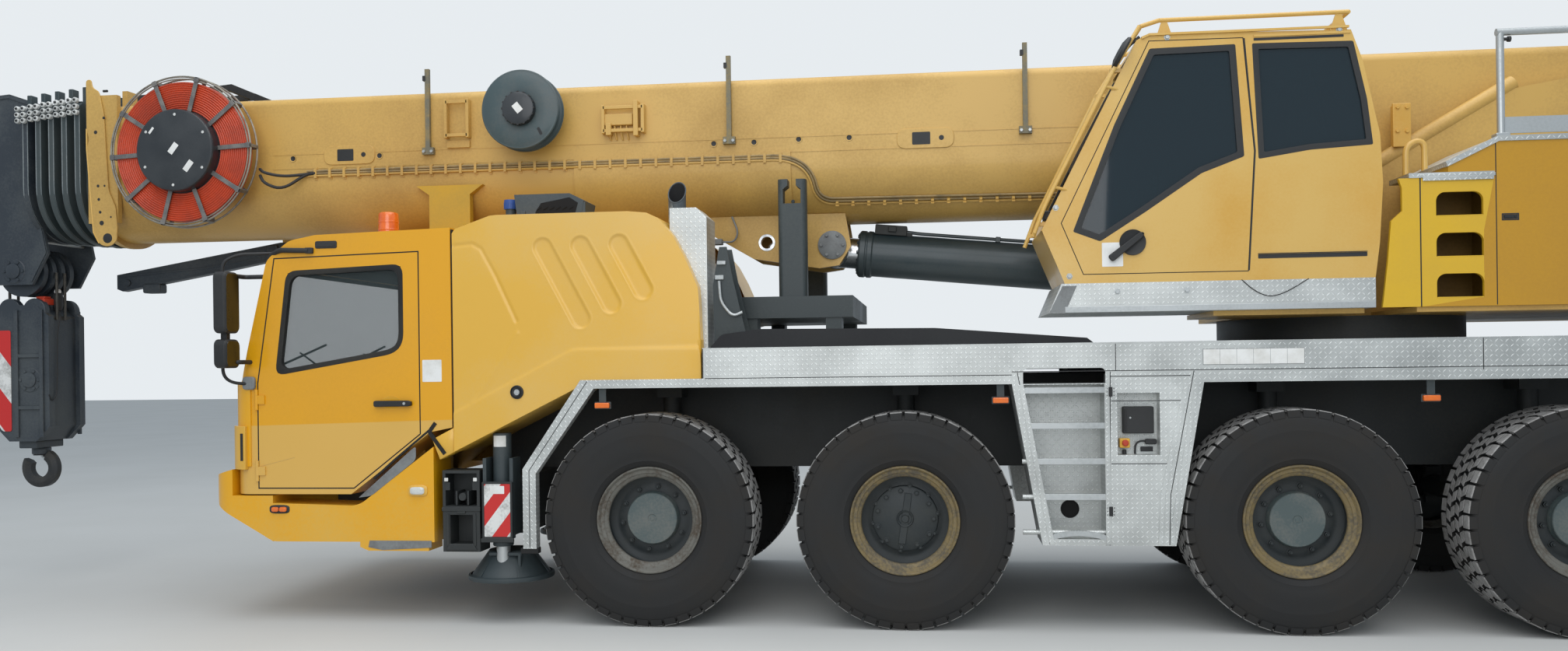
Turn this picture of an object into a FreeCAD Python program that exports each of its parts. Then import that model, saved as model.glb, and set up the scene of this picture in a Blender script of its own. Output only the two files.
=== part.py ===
"""Five-axle all-terrain mobile crane, parked for the road with its boom lowered over the cab.

Millimetres, +Z up, the front of the carrier towards -X and its left side towards -Y.
Every place along the machine is measured back from the first axle, and every height up from the
carrier's datum plane, axle_z below the axles. Each finished piece is then moved so that the origin
lies under the middle of the machine, at ground level, with the tyres on the ground.
"""
import FreeCAD, Part
import Sketcher
import math
import os
from types import SimpleNamespace

doc = FreeCAD.newDocument("mobile_crane")
sheet = doc.addObject("Spreadsheet::Sheet", "Sizes")

# Driving sizes: name, millimetres, what it measures
SIZES = (
    ("first_axle_at", -1570, "first axle's place from the origin"),
    ("half_width", 1375, "half the overall width"),
    ("gap_12", 1690, "first to second axle"),
    ("gap_23", 2460, "second to third axle"),
    ("gap_34", 1670, "third to fourth axle"),
    ("gap_45", 1670, "fourth to fifth axle"),
    ("seat_gap", 0.3, "running clearance between pieces that bear on each other"),
    ("door_gap", 6, "gap round a door or panel"),
    # wheels, knuckles and axles
    ("axle_z", 705, "axles' height above the carrier's datum"),
    ("tyre_radius", 705, "tyre over its tread"),
    ("tyre_width", 430, "tyre section width"),
    ("tyre_face", 1360, "outer sidewall from the centre plane"),
    ("tread_half", 195, "half the tread band's width"),
    ("flange_radius", 356, "rim flange"),
    ("barrel_radius", 310, "inside of the rim barrel"),
    ("rim_half", 175, "half the rim's width over its flanges"),
    ("disc_recess", 150, "wheel disc below the rim flange"),
    ("disc_thick", 22, "wheel disc"),
    ("hub_radius", 175, "hub cap"),
    ("hub_height", 55, "hub cap's height"),
    ("kingpin_at", 960, "kingpin from the centre plane"),
    ("boss_radius", 66, "kingpin boss on the axle's end"),
    ("boss_half", 90, "half the boss's height"),
    ("fork_thick", 55, "knuckle arm"),
    ("fork_half", 68, "half the knuckle's width"),
    ("web_at", 78, "knuckle web from the kingpin"),
    ("web_thick", 50, "knuckle web"),
    ("spindle_radius", 80, "hub spindle"),
    ("beam_radius", 82, "axle beam tube"),
    ("diff_radius", 215, "final drive housing"),
    ("strut_at", 590, "suspension strut from the centre plane"),
    ("strut_radius", 62, "suspension strut"),
    ("strut_seat", 20, "strut's seat above the axle tube"),
    # frame
    ("frame_half", 455, "half the frame's width"),
    ("frame_low", 985, "frame's underside"),
    ("frame_top", 1640, "frame's upper side"),
    ("frame_rear", 9000, "frame's rear end"),
    ("girder_front", -1335, "box girder's front end"),
    ("bumper_back", -2640, "bumper's rear side, where it is bolted to the low front frame"),
    ("nose_low", 600, "low front frame's underside"),
    ("nose_top", 880, "low front frame's upper side"),
    ("ring_radius", 820, "slewing ring"),
    ("slew_at", 4800, "slewing axis"),
    ("turn_low", 2000, "turntable's underside"),
    # outriggers
    ("front_leg_at", -1035, "front left jack"),
    ("rear_leg_at", 8490, "rear left jack"),
    ("leg_offset", 240, "right jack behind or before the left one"),
    ("beam_wide", 200, "outrigger beam's width"),
    ("beam_tall", 300, "outrigger beam's height"),
    ("beam_low", 620, "outrigger beam's underside"),
    ("box_wall", 28, "wall of the outrigger box"),
    ("slide_gap", 5, "clearance of the beam in its box"),
    ("box_half", 1145, "outrigger box's end from the centre plane"),
    ("beam_inner", 1100, "beam's inner end beyond the centre plane"),
    ("jack_at", 1235, "jack from the centre plane"),
    ("jack_radius", 62, "jack's outer tube"),
    ("jack_top", 1285, "jack's upper end"),
    ("jack_top_low", 1155, "front right jack's upper end, under the engine cover's lower edge"),
    ("jack_head", 35, "jack's closed upper end over its rod"),
    ("guard_half", 105, "half the width between the jack's side plates"),
    ("jack_low", 520, "jack's lower end"),
    ("rod_radius", 46, "jack's rod"),
    ("float_radius", 285, "float's lower edge"),
    ("float_neck", 150, "float's upper edge"),
    ("float_low", 285, "float's underside"),
    ("float_tall", 190, "float's height"),
    ("float_inset", 1085, "float and rod from the centre plane"),
    # deck
    ("deck_front", 385, "deck's front edge"),
    ("deck_rear", 9050, "deck's rear edge"),
    ("deck_top", 1840, "deck's upper side"),
    ("plate", 8, "checker plate"),
    ("band_low", 1640, "side band's lower edge"),
    ("trim_low", 1583, "trim band's lower edge"),
    ("trim_deep", 60, "trim band's depth"),
    ("ring_hole", 960, "deck opening round the slewing ring"),
    ("strip_deep", 75, "arch strip's depth"),
    ("box_deep", 375, "side locker's depth"),
    ("box_low", 560, "side locker's underside"),
    ("locker_front_gap", 141, "second wheel to the side locker at the hubs' height"),
    ("locker_rear_gap", 41, "side locker to the third wheel at the hubs' height"),
    ("box_slope", 180, "side locker's ends lean in by this much"),
    ("box_wall_thick", 70, "side locker's frame beside its ladder and door"),
    ("ladder_wide", 510, "ladder's width"),
    ("service_wide", 260, "service recess's width"),
    ("recess_deep", 260, "ladder recess's depth"),
    ("rung_radius", 16, "ladder rung"),
    ("arch_gap", 50, "first wheel to its arch strip"),
    ("strip_wide", 90, "arch strip's width"),
    ("strip_lean", 405, "arch strip's upper end behind its lower end"),
    # carrier cab
    ("cab_side", 1340, "cab's side from the centre plane"),
    ("cab_wall", 60, "cab's wall and door"),
    ("glass", 6, "glass thickness"),
    ("hinge_x", -2747, "door hinges' axis"),
    ("hinge_y", 1345, "door hinges' axis from the centre plane"),
    ("hinge_radius", 11, "door hinge"),
    ("cab_floor", 960, "cab floor's upper side"),
    ("bumper_low", 555, "bumper's underside"),
    # engine cover
    ("cover_wall", 30, "moulded cover's wall"),
    ("pod_inner", 700, "inner side of the raised side covers"),
    ("cover_top", 2760, "cover's highest part"),
    ("saddle_top", 2560, "cover's top under the boom"),
    ("groove_deep", 10, "pressed groove's depth"),
    # turntable
    ("cheek_in", 475, "inner side of the turntable's cheeks"),
    ("cheek_out", 545, "outer side of the turntable's cheeks"),
    ("cheek_tube", 52, "round tube along the cheek's sloping edge"),
    ("floor_thick", 60, "turntable's floor"),
    ("house_in", 600, "inner side of the machinery houses"),
    ("house_out", 1330, "outer side of the machinery houses"),
    ("skin", 25, "wall of the houses and ladder panel"),
    ("pivot_x", 6600, "boom's foot pin"),
    ("pivot_z", 3400, "boom's foot pin's height"),
    ("pin_radius", 90, "boom's foot pin"),
    ("foot_x", 4650, "lift cylinder's foot pin"),
    ("foot_z", 2240, "lift cylinder's foot pin's height"),
    ("eye_x", 1150, "lift cylinder's eye pin"),
    ("eye_z", 2580, "lift cylinder's eye pin's height"),
    ("barrel_out", 165, "lift cylinder's radius"),
    ("rod_out", 115, "lift cylinder rod's radius"),
    ("winch_x", 7150, "winch drum"),
    ("winch_z", 2560, "winch drum's height"),
    ("winch_radius", 270, "winch drum over its flanges"),
    ("weight_front", 7520, "counterweight's front"),
    ("weight_rear", 8300, "counterweight's rear"),
    ("weight_low", 2240, "counterweight's underside"),
    ("weight_top", 3080, "counterweight's upper side"),
    # operator's cab
    ("booth_out", 1330, "operator's cab's outer side"),
    ("booth_in", 565, "operator's cab's inner side"),
    ("booth_low", 2215, "operator's cab's underside"),
    ("booth_wall", 45, "operator's cab's wall"),
    # boom
    ("boom_half", 420, "half the base section's width"),
    ("boom_low", 2790, "base section's underside"),
    ("boom_high", 3830, "base section's upper side"),
    ("boom_wall", 14, "section's wall"),
    ("boom_step", 34, "next section inside the last, each side"),
    ("boom_tail", 6850, "base section's rear end"),
    ("hanger_low", 2800, "underside of the hanger that carries the jib beam"),
    ("collar_at", -4670, "front face of the base collar"),
    ("collar_pitch", 120, "one collar to the next"),
    ("collar_thick", 46, "collar plate"),
    ("collar_out", 85, "collar beyond its section"),
    ("nest_rear", 6400, "first inner section's rear end"),
    ("nest_step", 60, "rear end of each section before the last"),
    ("head_front", -6000, "boom head's front"),
    ("head_half", 245, "inner side of the head's cheeks"),
    ("sheave_radius", 200, "head sheave"),
    ("hang_x", -5480, "lower head sheaves and hook block"),
    ("hang_z", 2560, "lower head sheaves' height"),
    ("hook_top", 2290, "hook block's upper side"),
    ("hook_low", 1180, "hook block's underside"),
    ("rope_radius", 11, "hoist rope"),
    ("turn_front", 3950, "turntable's front end"),
    ("turn_rear", 8150, "turntable's rear end"),
    ("tilt_x", 4700, "operator's cab's tilting pin"),
    ("tilt_z", 2670, "operator's cab's tilting pin's height"),
    ("reel_x", -3760, "hose reel"),
    ("reel_z", 3400, "hose reel's height"),
    ("reel_radius", 575, "hose reel over its hoop"),
    ("drum_x", -1080, "cable reel"),
    ("drum_z", 3610, "cable reel's height"),
    ("drum_radius", 290, "cable reel"),
    ("post_at", 750, "deck stand's posts from the centre plane"),
    ("post_x", 920, "deck stand's posts"),
    ("post_top", 3020, "deck stand's posts' upper ends"),
)


class Size:
    """A size that carries its number and the sheet formula that gives it."""

    def __init__(self, number, formula):
        self.number = number
        self.formula = formula

    def __add__(self, other):
        other = as_size(other)
        return Size(self.number + other.number, f"({self.formula} + {other.formula})")

    def __sub__(self, other):
        other = as_size(other)
        return Size(self.number - other.number, f"({self.formula} - {other.formula})")

    def __mul__(self, other):
        other = as_size(other)
        return Size(self.number * other.number, f"({self.formula} * {other.formula})")

    def __truediv__(self, other):
        other = as_size(other)
        return Size(self.number / other.number, f"({self.formula} / {other.formula})")

    def __neg__(self):
        return Size(-self.number, f"(0 - {self.formula})")

    def __radd__(self, other):
        return as_size(other) + self

    def __rsub__(self, other):
        return as_size(other) - self

    def __rmul__(self, other):
        return as_size(other) * self


def as_size(value):
    return value if isinstance(value, Size) else Size(float(value), repr(float(value)))


for row, (name, number, meaning) in enumerate(SIZES, 1):
    sheet.set(f"A{row}", name)
    sheet.set(f"B{row}", repr(float(number)))
    sheet.set(f"C{row}", meaning)
    sheet.setAlias(f"B{row}", name)
doc.recompute()
S = SimpleNamespace(**{name: Size(float(number), f"Sizes.{name}") for name, number, _ in SIZES})

PLANES = {
    "XZ": (FreeCAD.Rotation(FreeCAD.Vector(1, 0, 0), 90), FreeCAD.Vector(0, 1, 0), "y"),
    "YZ": (FreeCAD.Rotation(FreeCAD.Vector(1, 1, 1), 120), FreeCAD.Vector(1, 0, 0), "x"),
    "XY": (FreeCAD.Rotation(), FreeCAD.Vector(0, 0, 1), "z"),
}
AXES = {
    "X": (FreeCAD.Rotation(FreeCAD.Vector(0, 1, 0), 90), "xyz"),
    "Y": (FreeCAD.Rotation(FreeCAD.Vector(1, 0, 0), -90), "yxz"),
    "Z": (FreeCAD.Rotation(), "zxy"),
}


def tie(thing, **sizes):
    """Bind properties of a thing to the sheet; x, y and z are its place."""
    for name, size in sizes.items():
        path = f"Placement.Base.{name}" if name in "xyz" else name
        thing.setExpression(path, as_size(size).formula)
    return thing


def block(x0, x1, y0, y1, z0, z1):
    thing = doc.addObject("Part::Box", "Block")
    spans = {"Length": as_size(x1) - x0, "Width": as_size(y1) - y0, "Height": as_size(z1) - z0}
    return tie(thing, x=x0, y=y0, z=z0, **spans)


def rod(axis, radius, at, start, end, kind="Part::Cylinder", **sizes):
    """A cylinder along an axis; at gives its place on the other two axes, in X, Y, Z order."""
    thing = doc.addObject(kind, "Rod")
    turn, order = AXES[axis]
    thing.Placement = FreeCAD.Placement(FreeCAD.Vector(), turn)
    sizes = sizes or {"Radius": radius}
    places = dict(zip(order, (start, *at)))
    return tie(thing, Height=as_size(end) - start, **sizes, **places)


def cone(radius_low, radius_high, at, start, end):
    return rod("Z", 0, at, start, end, "Part::Cone", Radius1=radius_low, Radius2=radius_high)


def outline(plane, points):
    """A closed sketch through points whose places are bound to the sheet."""
    sketch = doc.addObject("Sketcher::SketchObject", "Outline")
    sketch.Placement = FreeCAD.Placement(FreeCAD.Vector(), PLANES[plane][0])
    corners = [(as_size(a), as_size(b)) for a, b in points]
    spots = [FreeCAD.Vector(a.number, b.number, 0) for a, b in corners]
    count = len(spots)
    sketch.addGeometry([Part.LineSegment(spots[i], spots[(i + 1) % count]) for i in range(count)])
    rules = [Sketcher.Constraint("Coincident", i, 2, (i + 1) % count, 1) for i in range(count)]
    for i, (a, b) in enumerate(corners):
        rules.append(Sketcher.Constraint("DistanceX", -1, 1, i, 1, a.number))
        rules.append(Sketcher.Constraint("DistanceY", -1, 1, i, 1, b.number))
    sketch.addConstraint(rules)
    for i, (a, b) in enumerate(corners):
        sketch.setExpression(f"Constraints[{count + 2 * i}]", a.formula)
        sketch.setExpression(f"Constraints[{count + 2 * i + 1}]", b.formula)
    return sketch


def prism(plane, points, low, high, corners=()):
    """An outline extruded square to its plane; corners are (point number, radius) to round."""
    thing = doc.addObject("Part::Extrusion", "Prism")
    thing.Base = outline(plane, points)
    thing.DirMode = "Custom"
    thing.Dir = PLANES[plane][1]
    thing.Solid = True
    tie(thing, LengthFwd=as_size(high) - low, **{PLANES[plane][2]: low})
    return rounded(thing, plane, points, corners) if corners else thing


def rounded(thing, plane, points, corners):
    """Fillets on the long edges that stand on the numbered corners of a prism's outline."""
    doc.recompute()
    first, second = {"XZ": (0, 2), "YZ": (1, 2), "XY": (0, 1)}[plane]
    across = 3 - first - second
    edges = []
    for number, radius in corners:
        a, b = (as_size(value).number for value in points[number])
        for index, edge in enumerate(thing.Shape.Edges, 1):
            ends = [vertex.Point for vertex in edge.Vertexes]
            if len(ends) == 2 and abs(ends[0][across] - ends[1][across]) > 0.001:
                if all(math.hypot(end[first] - a, end[second] - b) < 0.01 for end in ends):
                    edges.append((index, as_size(radius).number, as_size(radius).number))
    smooth = doc.addObject("Part::Fillet", "Rounded")
    smooth.Base = thing
    smooth.Edges = edges
    return smooth


def fuse(*things):
    whole = doc.addObject("Part::MultiFuse", "Joined")
    whole.Shapes = list(things)
    return whole


def cut(base, *tools):
    whole = doc.addObject("Part::Cut", "Opened")
    whole.Base = base
    whole.Tool = tools[0] if len(tools) == 1 else group(*tools)
    return whole


def common(one, other):
    shared = doc.addObject("Part::Common", "Shared")
    shared.Base = one
    shared.Tool = other
    return shared


def group(*things):
    whole = doc.addObject("Part::Compound", "Set")
    whole.Links = list(things)
    return whole


def mirrored(thing):
    """The same piece on the other side of the machine's centre plane."""
    other = doc.addObject("Part::Mirroring", "Mirrored")
    other.Source = thing
    other.Normal = FreeCAD.Vector(0, 1, 0)
    return other


def both(*things):
    return list(things) + [mirrored(thing) for thing in things]


def slanted(start, end, radius):
    """A round bar between two places, each given as X, Y and Z."""
    a, b = (FreeCAD.Vector(*(as_size(value).number for value in place)) for place in (start, end))
    thing = doc.addObject("Part::Cylinder", "Bar")
    thing.Height = (b - a).Length
    thing.Placement = FreeCAD.Placement(a, FreeCAD.Rotation(FreeCAD.Vector(0, 0, 1), b - a))
    return tie(thing, Radius=radius)


NODES = []


def node(name, *things, turned=0, x=0, y=0, z=0):
    """A finished piece, moved so that the first axle and the ground come to their places."""
    whole = group(*things)
    whole.Label = name
    whole.Placement = FreeCAD.Placement(FreeCAD.Vector(), FreeCAD.Rotation(turned, 0, 0))
    tie(whole, x=S.first_axle_at + x, y=y, z=S.tyre_radius - S.axle_z + z)
    NODES.append(whole)
    return whole


# Wheels: tyre, rim, disc and hub cap, turned as one piece about the axle. Its outer side is -Y.
tyre_half = S.tyre_width / 2
tyre_mid = S.tyre_face - tyre_half
disc_out = S.disc_recess - S.rim_half
disc_in = disc_out + S.disc_thick
cap_out = disc_out - S.hub_height
sidewall_radius = S.flange_radius + 140
shoulder_radius = S.tyre_radius - 60
WHEEL_PROFILE = (  # radius, place along the axle
    (0, disc_in), (S.barrel_radius, disc_in), (S.barrel_radius, S.rim_half),
    (S.flange_radius, S.rim_half), (sidewall_radius, tyre_half), (shoulder_radius, tyre_half - 8),
    (S.tyre_radius, S.tread_half), (S.tyre_radius, -S.tread_half),
    (shoulder_radius, 8 - tyre_half), (sidewall_radius, -tyre_half),
    (S.flange_radius, -S.rim_half), (S.barrel_radius, -S.rim_half), (S.barrel_radius, disc_out),
    (S.hub_radius, disc_out), (S.hub_radius * 0.8, cap_out), (0, cap_out),
)
wheel = doc.addObject("PartDesign::Body", "Wheel")
profile = outline("XY", WHEEL_PROFILE)
wheel.addObject(profile)
turned_wheel = wheel.newObject("PartDesign::Revolution", "TurnedWheel")
turned_wheel.Profile = profile
turned_wheel.ReferenceAxis = (profile, ["V_Axis"])
turned_wheel.Angle = 360

second_axle = S.gap_12
third_axle = second_axle + S.gap_23
fourth_axle = third_axle + S.gap_34
fifth_axle = fourth_axle + S.gap_45
AXLES = (  # name, place behind the first axle, whether it steers
    ("1", Size(0, "0"), True), ("2", second_axle, True), ("3", third_axle, False),
    ("4", fourth_axle, True), ("5", fifth_axle, True),
)
SIDES = (("left", 0, -1), ("right", 180, 1))  # name, turn about Z, sign of Y

for axle, place, _ in AXLES:
    for side, turn, sign in SIDES:
        node(f"wheel_{side}_{axle}", wheel, turned=turn, x=place, y=sign * tyre_mid, z=S.axle_z)

# Steering knuckles: a fork over the axle's boss, its web, the hub spindle and the steering arm,
# drawn about the kingpin with the wheel towards -Y
spindle_end = S.seat_gap + S.kingpin_at - (tyre_mid - disc_in)
web_out = -S.web_at - S.web_thick
arm_low = S.boss_half + S.seat_gap
arm_high = arm_low + S.fork_thick
knuckle = fuse(
    block(-S.fork_half, S.fork_half, web_out, -S.web_at, -arm_high, arm_high),
    block(-S.fork_half, S.fork_half, -S.web_at, S.fork_half, arm_low, arm_high),
    block(-S.fork_half, S.fork_half, -S.web_at, S.fork_half, -arm_high, -arm_low),
    block(S.fork_half, S.fork_half * 2.6, -S.fork_half / 2, S.fork_half / 2, -arm_high, -arm_low),
    rod("Y", S.spindle_radius, (0, 0), spindle_end, web_out),
)
for axle, place, steers in AXLES:
    for side, turn, sign in SIDES if steers else ():
        node(f"knuckle_{side}_{axle}", knuckle, turned=turn, x=place, y=sign * S.kingpin_at, z=S.axle_z)

# Axles: beam tube, final drive housing, kingpin bosses and the struts' seats; the third axle does
# not steer, so its hub carriers are solid with the beam. The suspension struts stand on the seats.
strut_top = S.frame_top - 140
strut_foot = S.axle_z + S.beam_radius + S.strut_seat
axles, struts = [], []
for _, place, steers in AXLES:
    pieces = [
        rod("Y", S.beam_radius, (place, S.axle_z), -S.kingpin_at, S.kingpin_at),
        rod("Y", S.diff_radius, (place, S.axle_z), -S.diff_radius * 0.6, S.diff_radius * 0.6),
    ]
    for sign in (-1, 1):
        strut = sign * S.strut_at
        pieces.append(block(place - S.strut_radius, place + S.strut_radius, strut - S.strut_radius,
                            strut + S.strut_radius, S.axle_z, strut_foot))
        struts.append(rod("Z", S.strut_radius, (place, strut), strut_foot + S.seat_gap,
                          strut_top - S.seat_gap))
        if steers:
            boss = (place, sign * S.kingpin_at)
            pieces.append(rod("Z", S.boss_radius, boss, S.axle_z - S.boss_half, S.axle_z + S.boss_half))
    if not steers:
        reach = tyre_mid - disc_in - S.seat_gap
        pieces.append(rod("Y", S.spindle_radius, (place, S.axle_z), -reach, reach))
        pieces += both(rod("Y", S.spindle_radius * 1.6, (place, S.axle_z),
                           -S.kingpin_at - S.web_at, -S.kingpin_at))
    axles.append(fuse(*pieces))
node("axle_beams", *axles, *struts)

# Frame, bolted together: box girder, low front frame under the cab, outrigger boxes, slewing
# ring, strut brackets, deck bearers, stowage box for the float's pads and rear towing bracket
LEGS = {  # name: left jack's place, which way the right jack is offset, left and right jacks' tops
    "front": (S.front_leg_at, -1, S.jack_top, S.jack_top_low),
    "rear": (S.rear_leg_at, 1, S.jack_top, S.jack_top),
}
box_side = S.beam_wide / 2 + S.slide_gap + S.box_wall
box_floor = S.beam_low - S.seat_gap - S.box_wall
box_roof = S.beam_low + S.beam_tall + S.slide_gap
gap = S.seat_gap
frame_parts = [
    block(S.girder_front, S.frame_rear, -S.frame_half, S.frame_half, S.frame_low, S.frame_top),
    rod("Z", S.ring_radius, (S.slew_at, 0), S.frame_top + gap, S.turn_low - gap),
]
nose_rear = S.front_leg_at - S.leg_offset - box_side - gap
frame_parts.append(block(S.bumper_back + gap, nose_rear, -S.frame_half, S.frame_half, S.nose_low, S.nose_top))
bracket_out = S.strut_at + 80
for _, place, _ in AXLES:
    frame_parts += both(block(place - 90, place + 90, -bracket_out, -S.frame_half - gap,
                              strut_top, S.frame_top))
BEARERS = (500, 2100, 3700, 6600, 8880)
bearer_reach = S.half_width - S.trim_deep - 15
for place in BEARERS:
    frame_parts.append(block(place, place + 90, -bearer_reach, bearer_reach, S.frame_top + gap,
                             S.deck_top - S.plate - gap))
for place, way, _, _ in LEGS.values():
    other = place + way * S.leg_offset
    front, rear = (other, place) if way < 0 else (place, other)
    tunnels = [block(spot - box_side + S.box_wall, spot + box_side - S.box_wall,
                     -S.box_half - 5, S.box_half + 5, S.beam_low - gap, box_roof)
               for spot in (front, rear)]
    frame_parts.append(cut(block(front - box_side, rear + box_side, -S.box_half, S.box_half,
                                 box_floor, S.frame_low - gap), *tunnels))
pad_box = cut(block(-1420, -1160, -1335, -1160, 490, 1040), block(-1400, -1180, -1340, -1190, 800, 1020),
              block(-1370, -1210, -1340, -1190, 540, 740))
pad_stay = block(-1330, -1250, -1165, -S.box_half - gap, box_roof + 7, S.frame_low - 7)
tow_front = S.frame_rear + gap
tow_x = tow_front + 85
tow = cut(fuse(block(tow_front, tow_front + 22, -160, 160, 1030, 1320),
               *[block(tow_front + 10, tow_x + 55, -70, 70, low, low + 40) for low in (1090, 1220)]),
          rod("Z", 26, (tow_x, 0), 1080, 1270))
node("chassis_frame", *frame_parts, fuse(pad_box, pad_stay), tow)

# Outriggers: four beams, each with the tube of its jack at the outer end, and four jack rods
# with their floats
beam_half = S.beam_wide / 2
for end, (place, way, left_top, right_top) in LEGS.items():
    for side, turn, sign in SIDES:
        spot, top = (place, left_top) if sign < 0 else (place + way * S.leg_offset, right_top)
        beam = cut(fuse(
            block(-beam_half, beam_half, -S.jack_at, S.beam_inner, S.beam_low, S.beam_low + S.beam_tall),
            rod("Z", S.jack_radius, (0, -S.jack_at), S.jack_low, top),
            block(-S.guard_half, S.guard_half, -S.jack_at - 105, -S.jack_at - 50, 580, 960),
            *[block(x - 12, x + 12, -S.jack_at - 90, -S.jack_at + 60, 600, 1120)
              for x in (12 - S.guard_half, S.guard_half - 12)],
        ), rod("Z", S.rod_radius + S.seat_gap, (0, -S.jack_at), S.jack_low - 5, top - S.jack_head))
        node(f"outrigger_beam_{end}_{side}", beam, turned=turn, x=spot)
        leg = fuse(
            rod("Z", S.rod_radius, (0, -S.jack_at), S.float_low + 20, top - S.jack_head - 5),
            cone(S.float_radius, S.float_neck, (0, -S.float_inset), S.float_low,
                 S.float_low + S.float_tall),
        )
        node(f"outrigger_leg_{end}_{side}", leg, turned=turn, x=spot)

# Deck, of separate panels: checker plate, tail plate, side bands with their trims, arch strips in
# front of the first wheels and lockers with a ladder between the second and third wheels
outer = -S.half_width
lean = S.box_slope * (S.band_low - S.axle_z) / (S.band_low - S.box_low)
box_front = second_axle + S.tyre_radius + S.locker_front_gap - lean
box_rear = third_axle - S.tyre_radius - S.locker_rear_gap + lean
box_top = S.trim_low - gap
ladder_front = box_front + S.box_wall_thick
ladder_rear = ladder_front + S.ladder_wide
service_front = ladder_rear + S.box_wall_thick
ladder_hole = prism("XZ", ((ladder_front, box_top - 5), (ladder_rear, box_top - 5),
                           (ladder_rear, S.box_low + 40), (ladder_front + S.box_slope, S.box_low + 40)),
                    outer - 5, outer + S.recess_deep, ((2, 40), (3, 40)))
locker = cut(
    prism("XZ", ((box_front, box_top), (box_rear, box_top), (box_rear - S.box_slope, S.box_low),
                 (box_front + S.box_slope, S.box_low)), outer, outer + S.box_deep),
    ladder_hole,
    block(service_front, service_front + S.service_wide, outer - 5, outer + 100, 1130, 1520),
)
rungs = [rod("X", S.rung_radius, (outer + 30, S.box_low + 80 + 225 * step), ladder_front - 10,
             ladder_rear + 10) for step in range(5)]
strip_out = -S.tyre_radius - S.arch_gap - S.strip_wide
strip_in = -S.tyre_radius - S.arch_gap
strip_low, strip_bend = 520, 1050
strip = prism("XZ", ((strip_out + S.strip_lean, S.band_low), (strip_out, strip_bend), (strip_out, strip_low),
                     (strip_in, strip_low), (strip_in, strip_bend - 30),
                     (strip_in + S.strip_lean, S.trim_low), (strip_in + S.strip_lean, S.band_low)),
              outer, outer + S.strip_deep)
band_rear = S.deck_rear - S.plate - gap
band_top = S.deck_top - S.plate - gap
notch_top = S.band_low + 40
notch = prism("XZ", ((ladder_front, S.trim_low - 5), (ladder_rear, S.trim_low - 5),
                     (ladder_rear, notch_top), (ladder_front, notch_top)),
              outer - 5, outer + S.trim_deep + 5, ((2, 30), (3, 30)))
side_band = cut(fuse(
    block(S.deck_front, band_rear, outer, outer + S.plate, S.band_low - 5, band_top),
    block(strip_in + S.strip_lean + gap, band_rear, outer, outer + S.trim_deep, S.trim_low, S.band_low),
), notch)
deck_sheet = cut(block(S.deck_front, S.deck_rear, outer, S.half_width, S.deck_top - S.plate, S.deck_top),
                 rod("Z", S.ring_hole, (S.slew_at, 0), S.deck_top - 50, S.deck_top + 50))
tail = block(S.deck_rear - S.plate, S.deck_rear, outer, S.half_width, S.trim_low, band_top)
node("deck_plates", deck_sheet, tail, *both(side_band, strip, fuse(locker, *rungs)))

# Carrier cab: hollow, its walls whole, with the door openings and windows cut through
cab_in = S.cab_side - S.cab_wall
CAB = ((-2930, S.nose_top), (-2930, 1560), (-2860, 1670), (-2665, 2490), (-2500, 2620), (-2310, 2655),
       (-1345, 2680), (-1345, 1330), (-1500, 1300), (-2070, S.nose_top))
CAB_INNER = ((-2860, S.cab_floor), (-2860, 1540), (-2800, 1650), (-2610, 2440), (-2480, 2560),
             (-2300, 2595), (-1405, 2620), (-1405, 1390), (-1530, 1360), (-2100, S.cab_floor))
DOOR = ((-2735, 925), (-2735, 1640), (-2605, 2495), (-1575, 2520), (-1575, 1290), (-2050, 925))
PANE = ((-2590, 1715), (-2505, 2395), (-1700, 2425), (-1700, 1915), (-1760, 1850))


def grown(points, out):
    """The same outline moved outwards along each corner's bisector by a clearance."""
    spots = [(as_size(a), as_size(b)) for a, b in points]
    count = len(spots)
    area = sum(spots[i][0].number * spots[(i + 1) % count][1].number
               - spots[(i + 1) % count][0].number * spots[i][1].number for i in range(count))
    way = 1 if area > 0 else -1
    moved = []
    for i in range(count):
        before, here, after = spots[i - 1], spots[i], spots[(i + 1) % count]
        normals = []
        for a, b in ((before, here), (here, after)):
            along = (b[0].number - a[0].number, b[1].number - a[1].number)
            length = math.hypot(*along)
            normals.append((way * along[1] / length, -way * along[0] / length))
        (ax, ay), (bx, by) = normals
        share = 1 + ax * bx + ay * by
        moved.append((here[0] + out * ((ax + bx) / share), here[1] + out * ((ay + by) / share)))
    return moved


door_hole = prism("XZ", grown(DOOR, S.door_gap), -S.cab_side - 5, -cab_in + 5)
windscreen_hole = block(-3000, -2550, -1180, 1180, 1700, 2440)
rear_hole = block(-1420, -1330, -900, 900, 1900, 2500)
HINGES = (1010, 1500)  # undersides of the doors' two hinges
knuckle_tall = 60
hinge_at = (S.hinge_x, -S.hinge_y)
hinge_pockets, hinge_lugs, hinge_leaves = [], [], []
for low in HINGES:
    high = low + knuckle_tall
    hinge_pockets.append(rod("Z", S.hinge_radius + S.door_gap, hinge_at, low - S.seat_gap, high + S.seat_gap))
    hinge_lugs.append(rod("Z", S.hinge_radius, hinge_at, low - S.seat_gap - 40, low - S.seat_gap))
    hinge_lugs.append(rod("Z", S.hinge_radius, hinge_at, high + S.seat_gap, high + S.seat_gap + 40))
    hinge_leaves.append(rod("Z", S.hinge_radius, hinge_at, low, high))
    hinge_leaves.append(block(S.hinge_x, S.hinge_x + 60, -S.hinge_y - 6, -S.hinge_y + 10, low, high))
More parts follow.
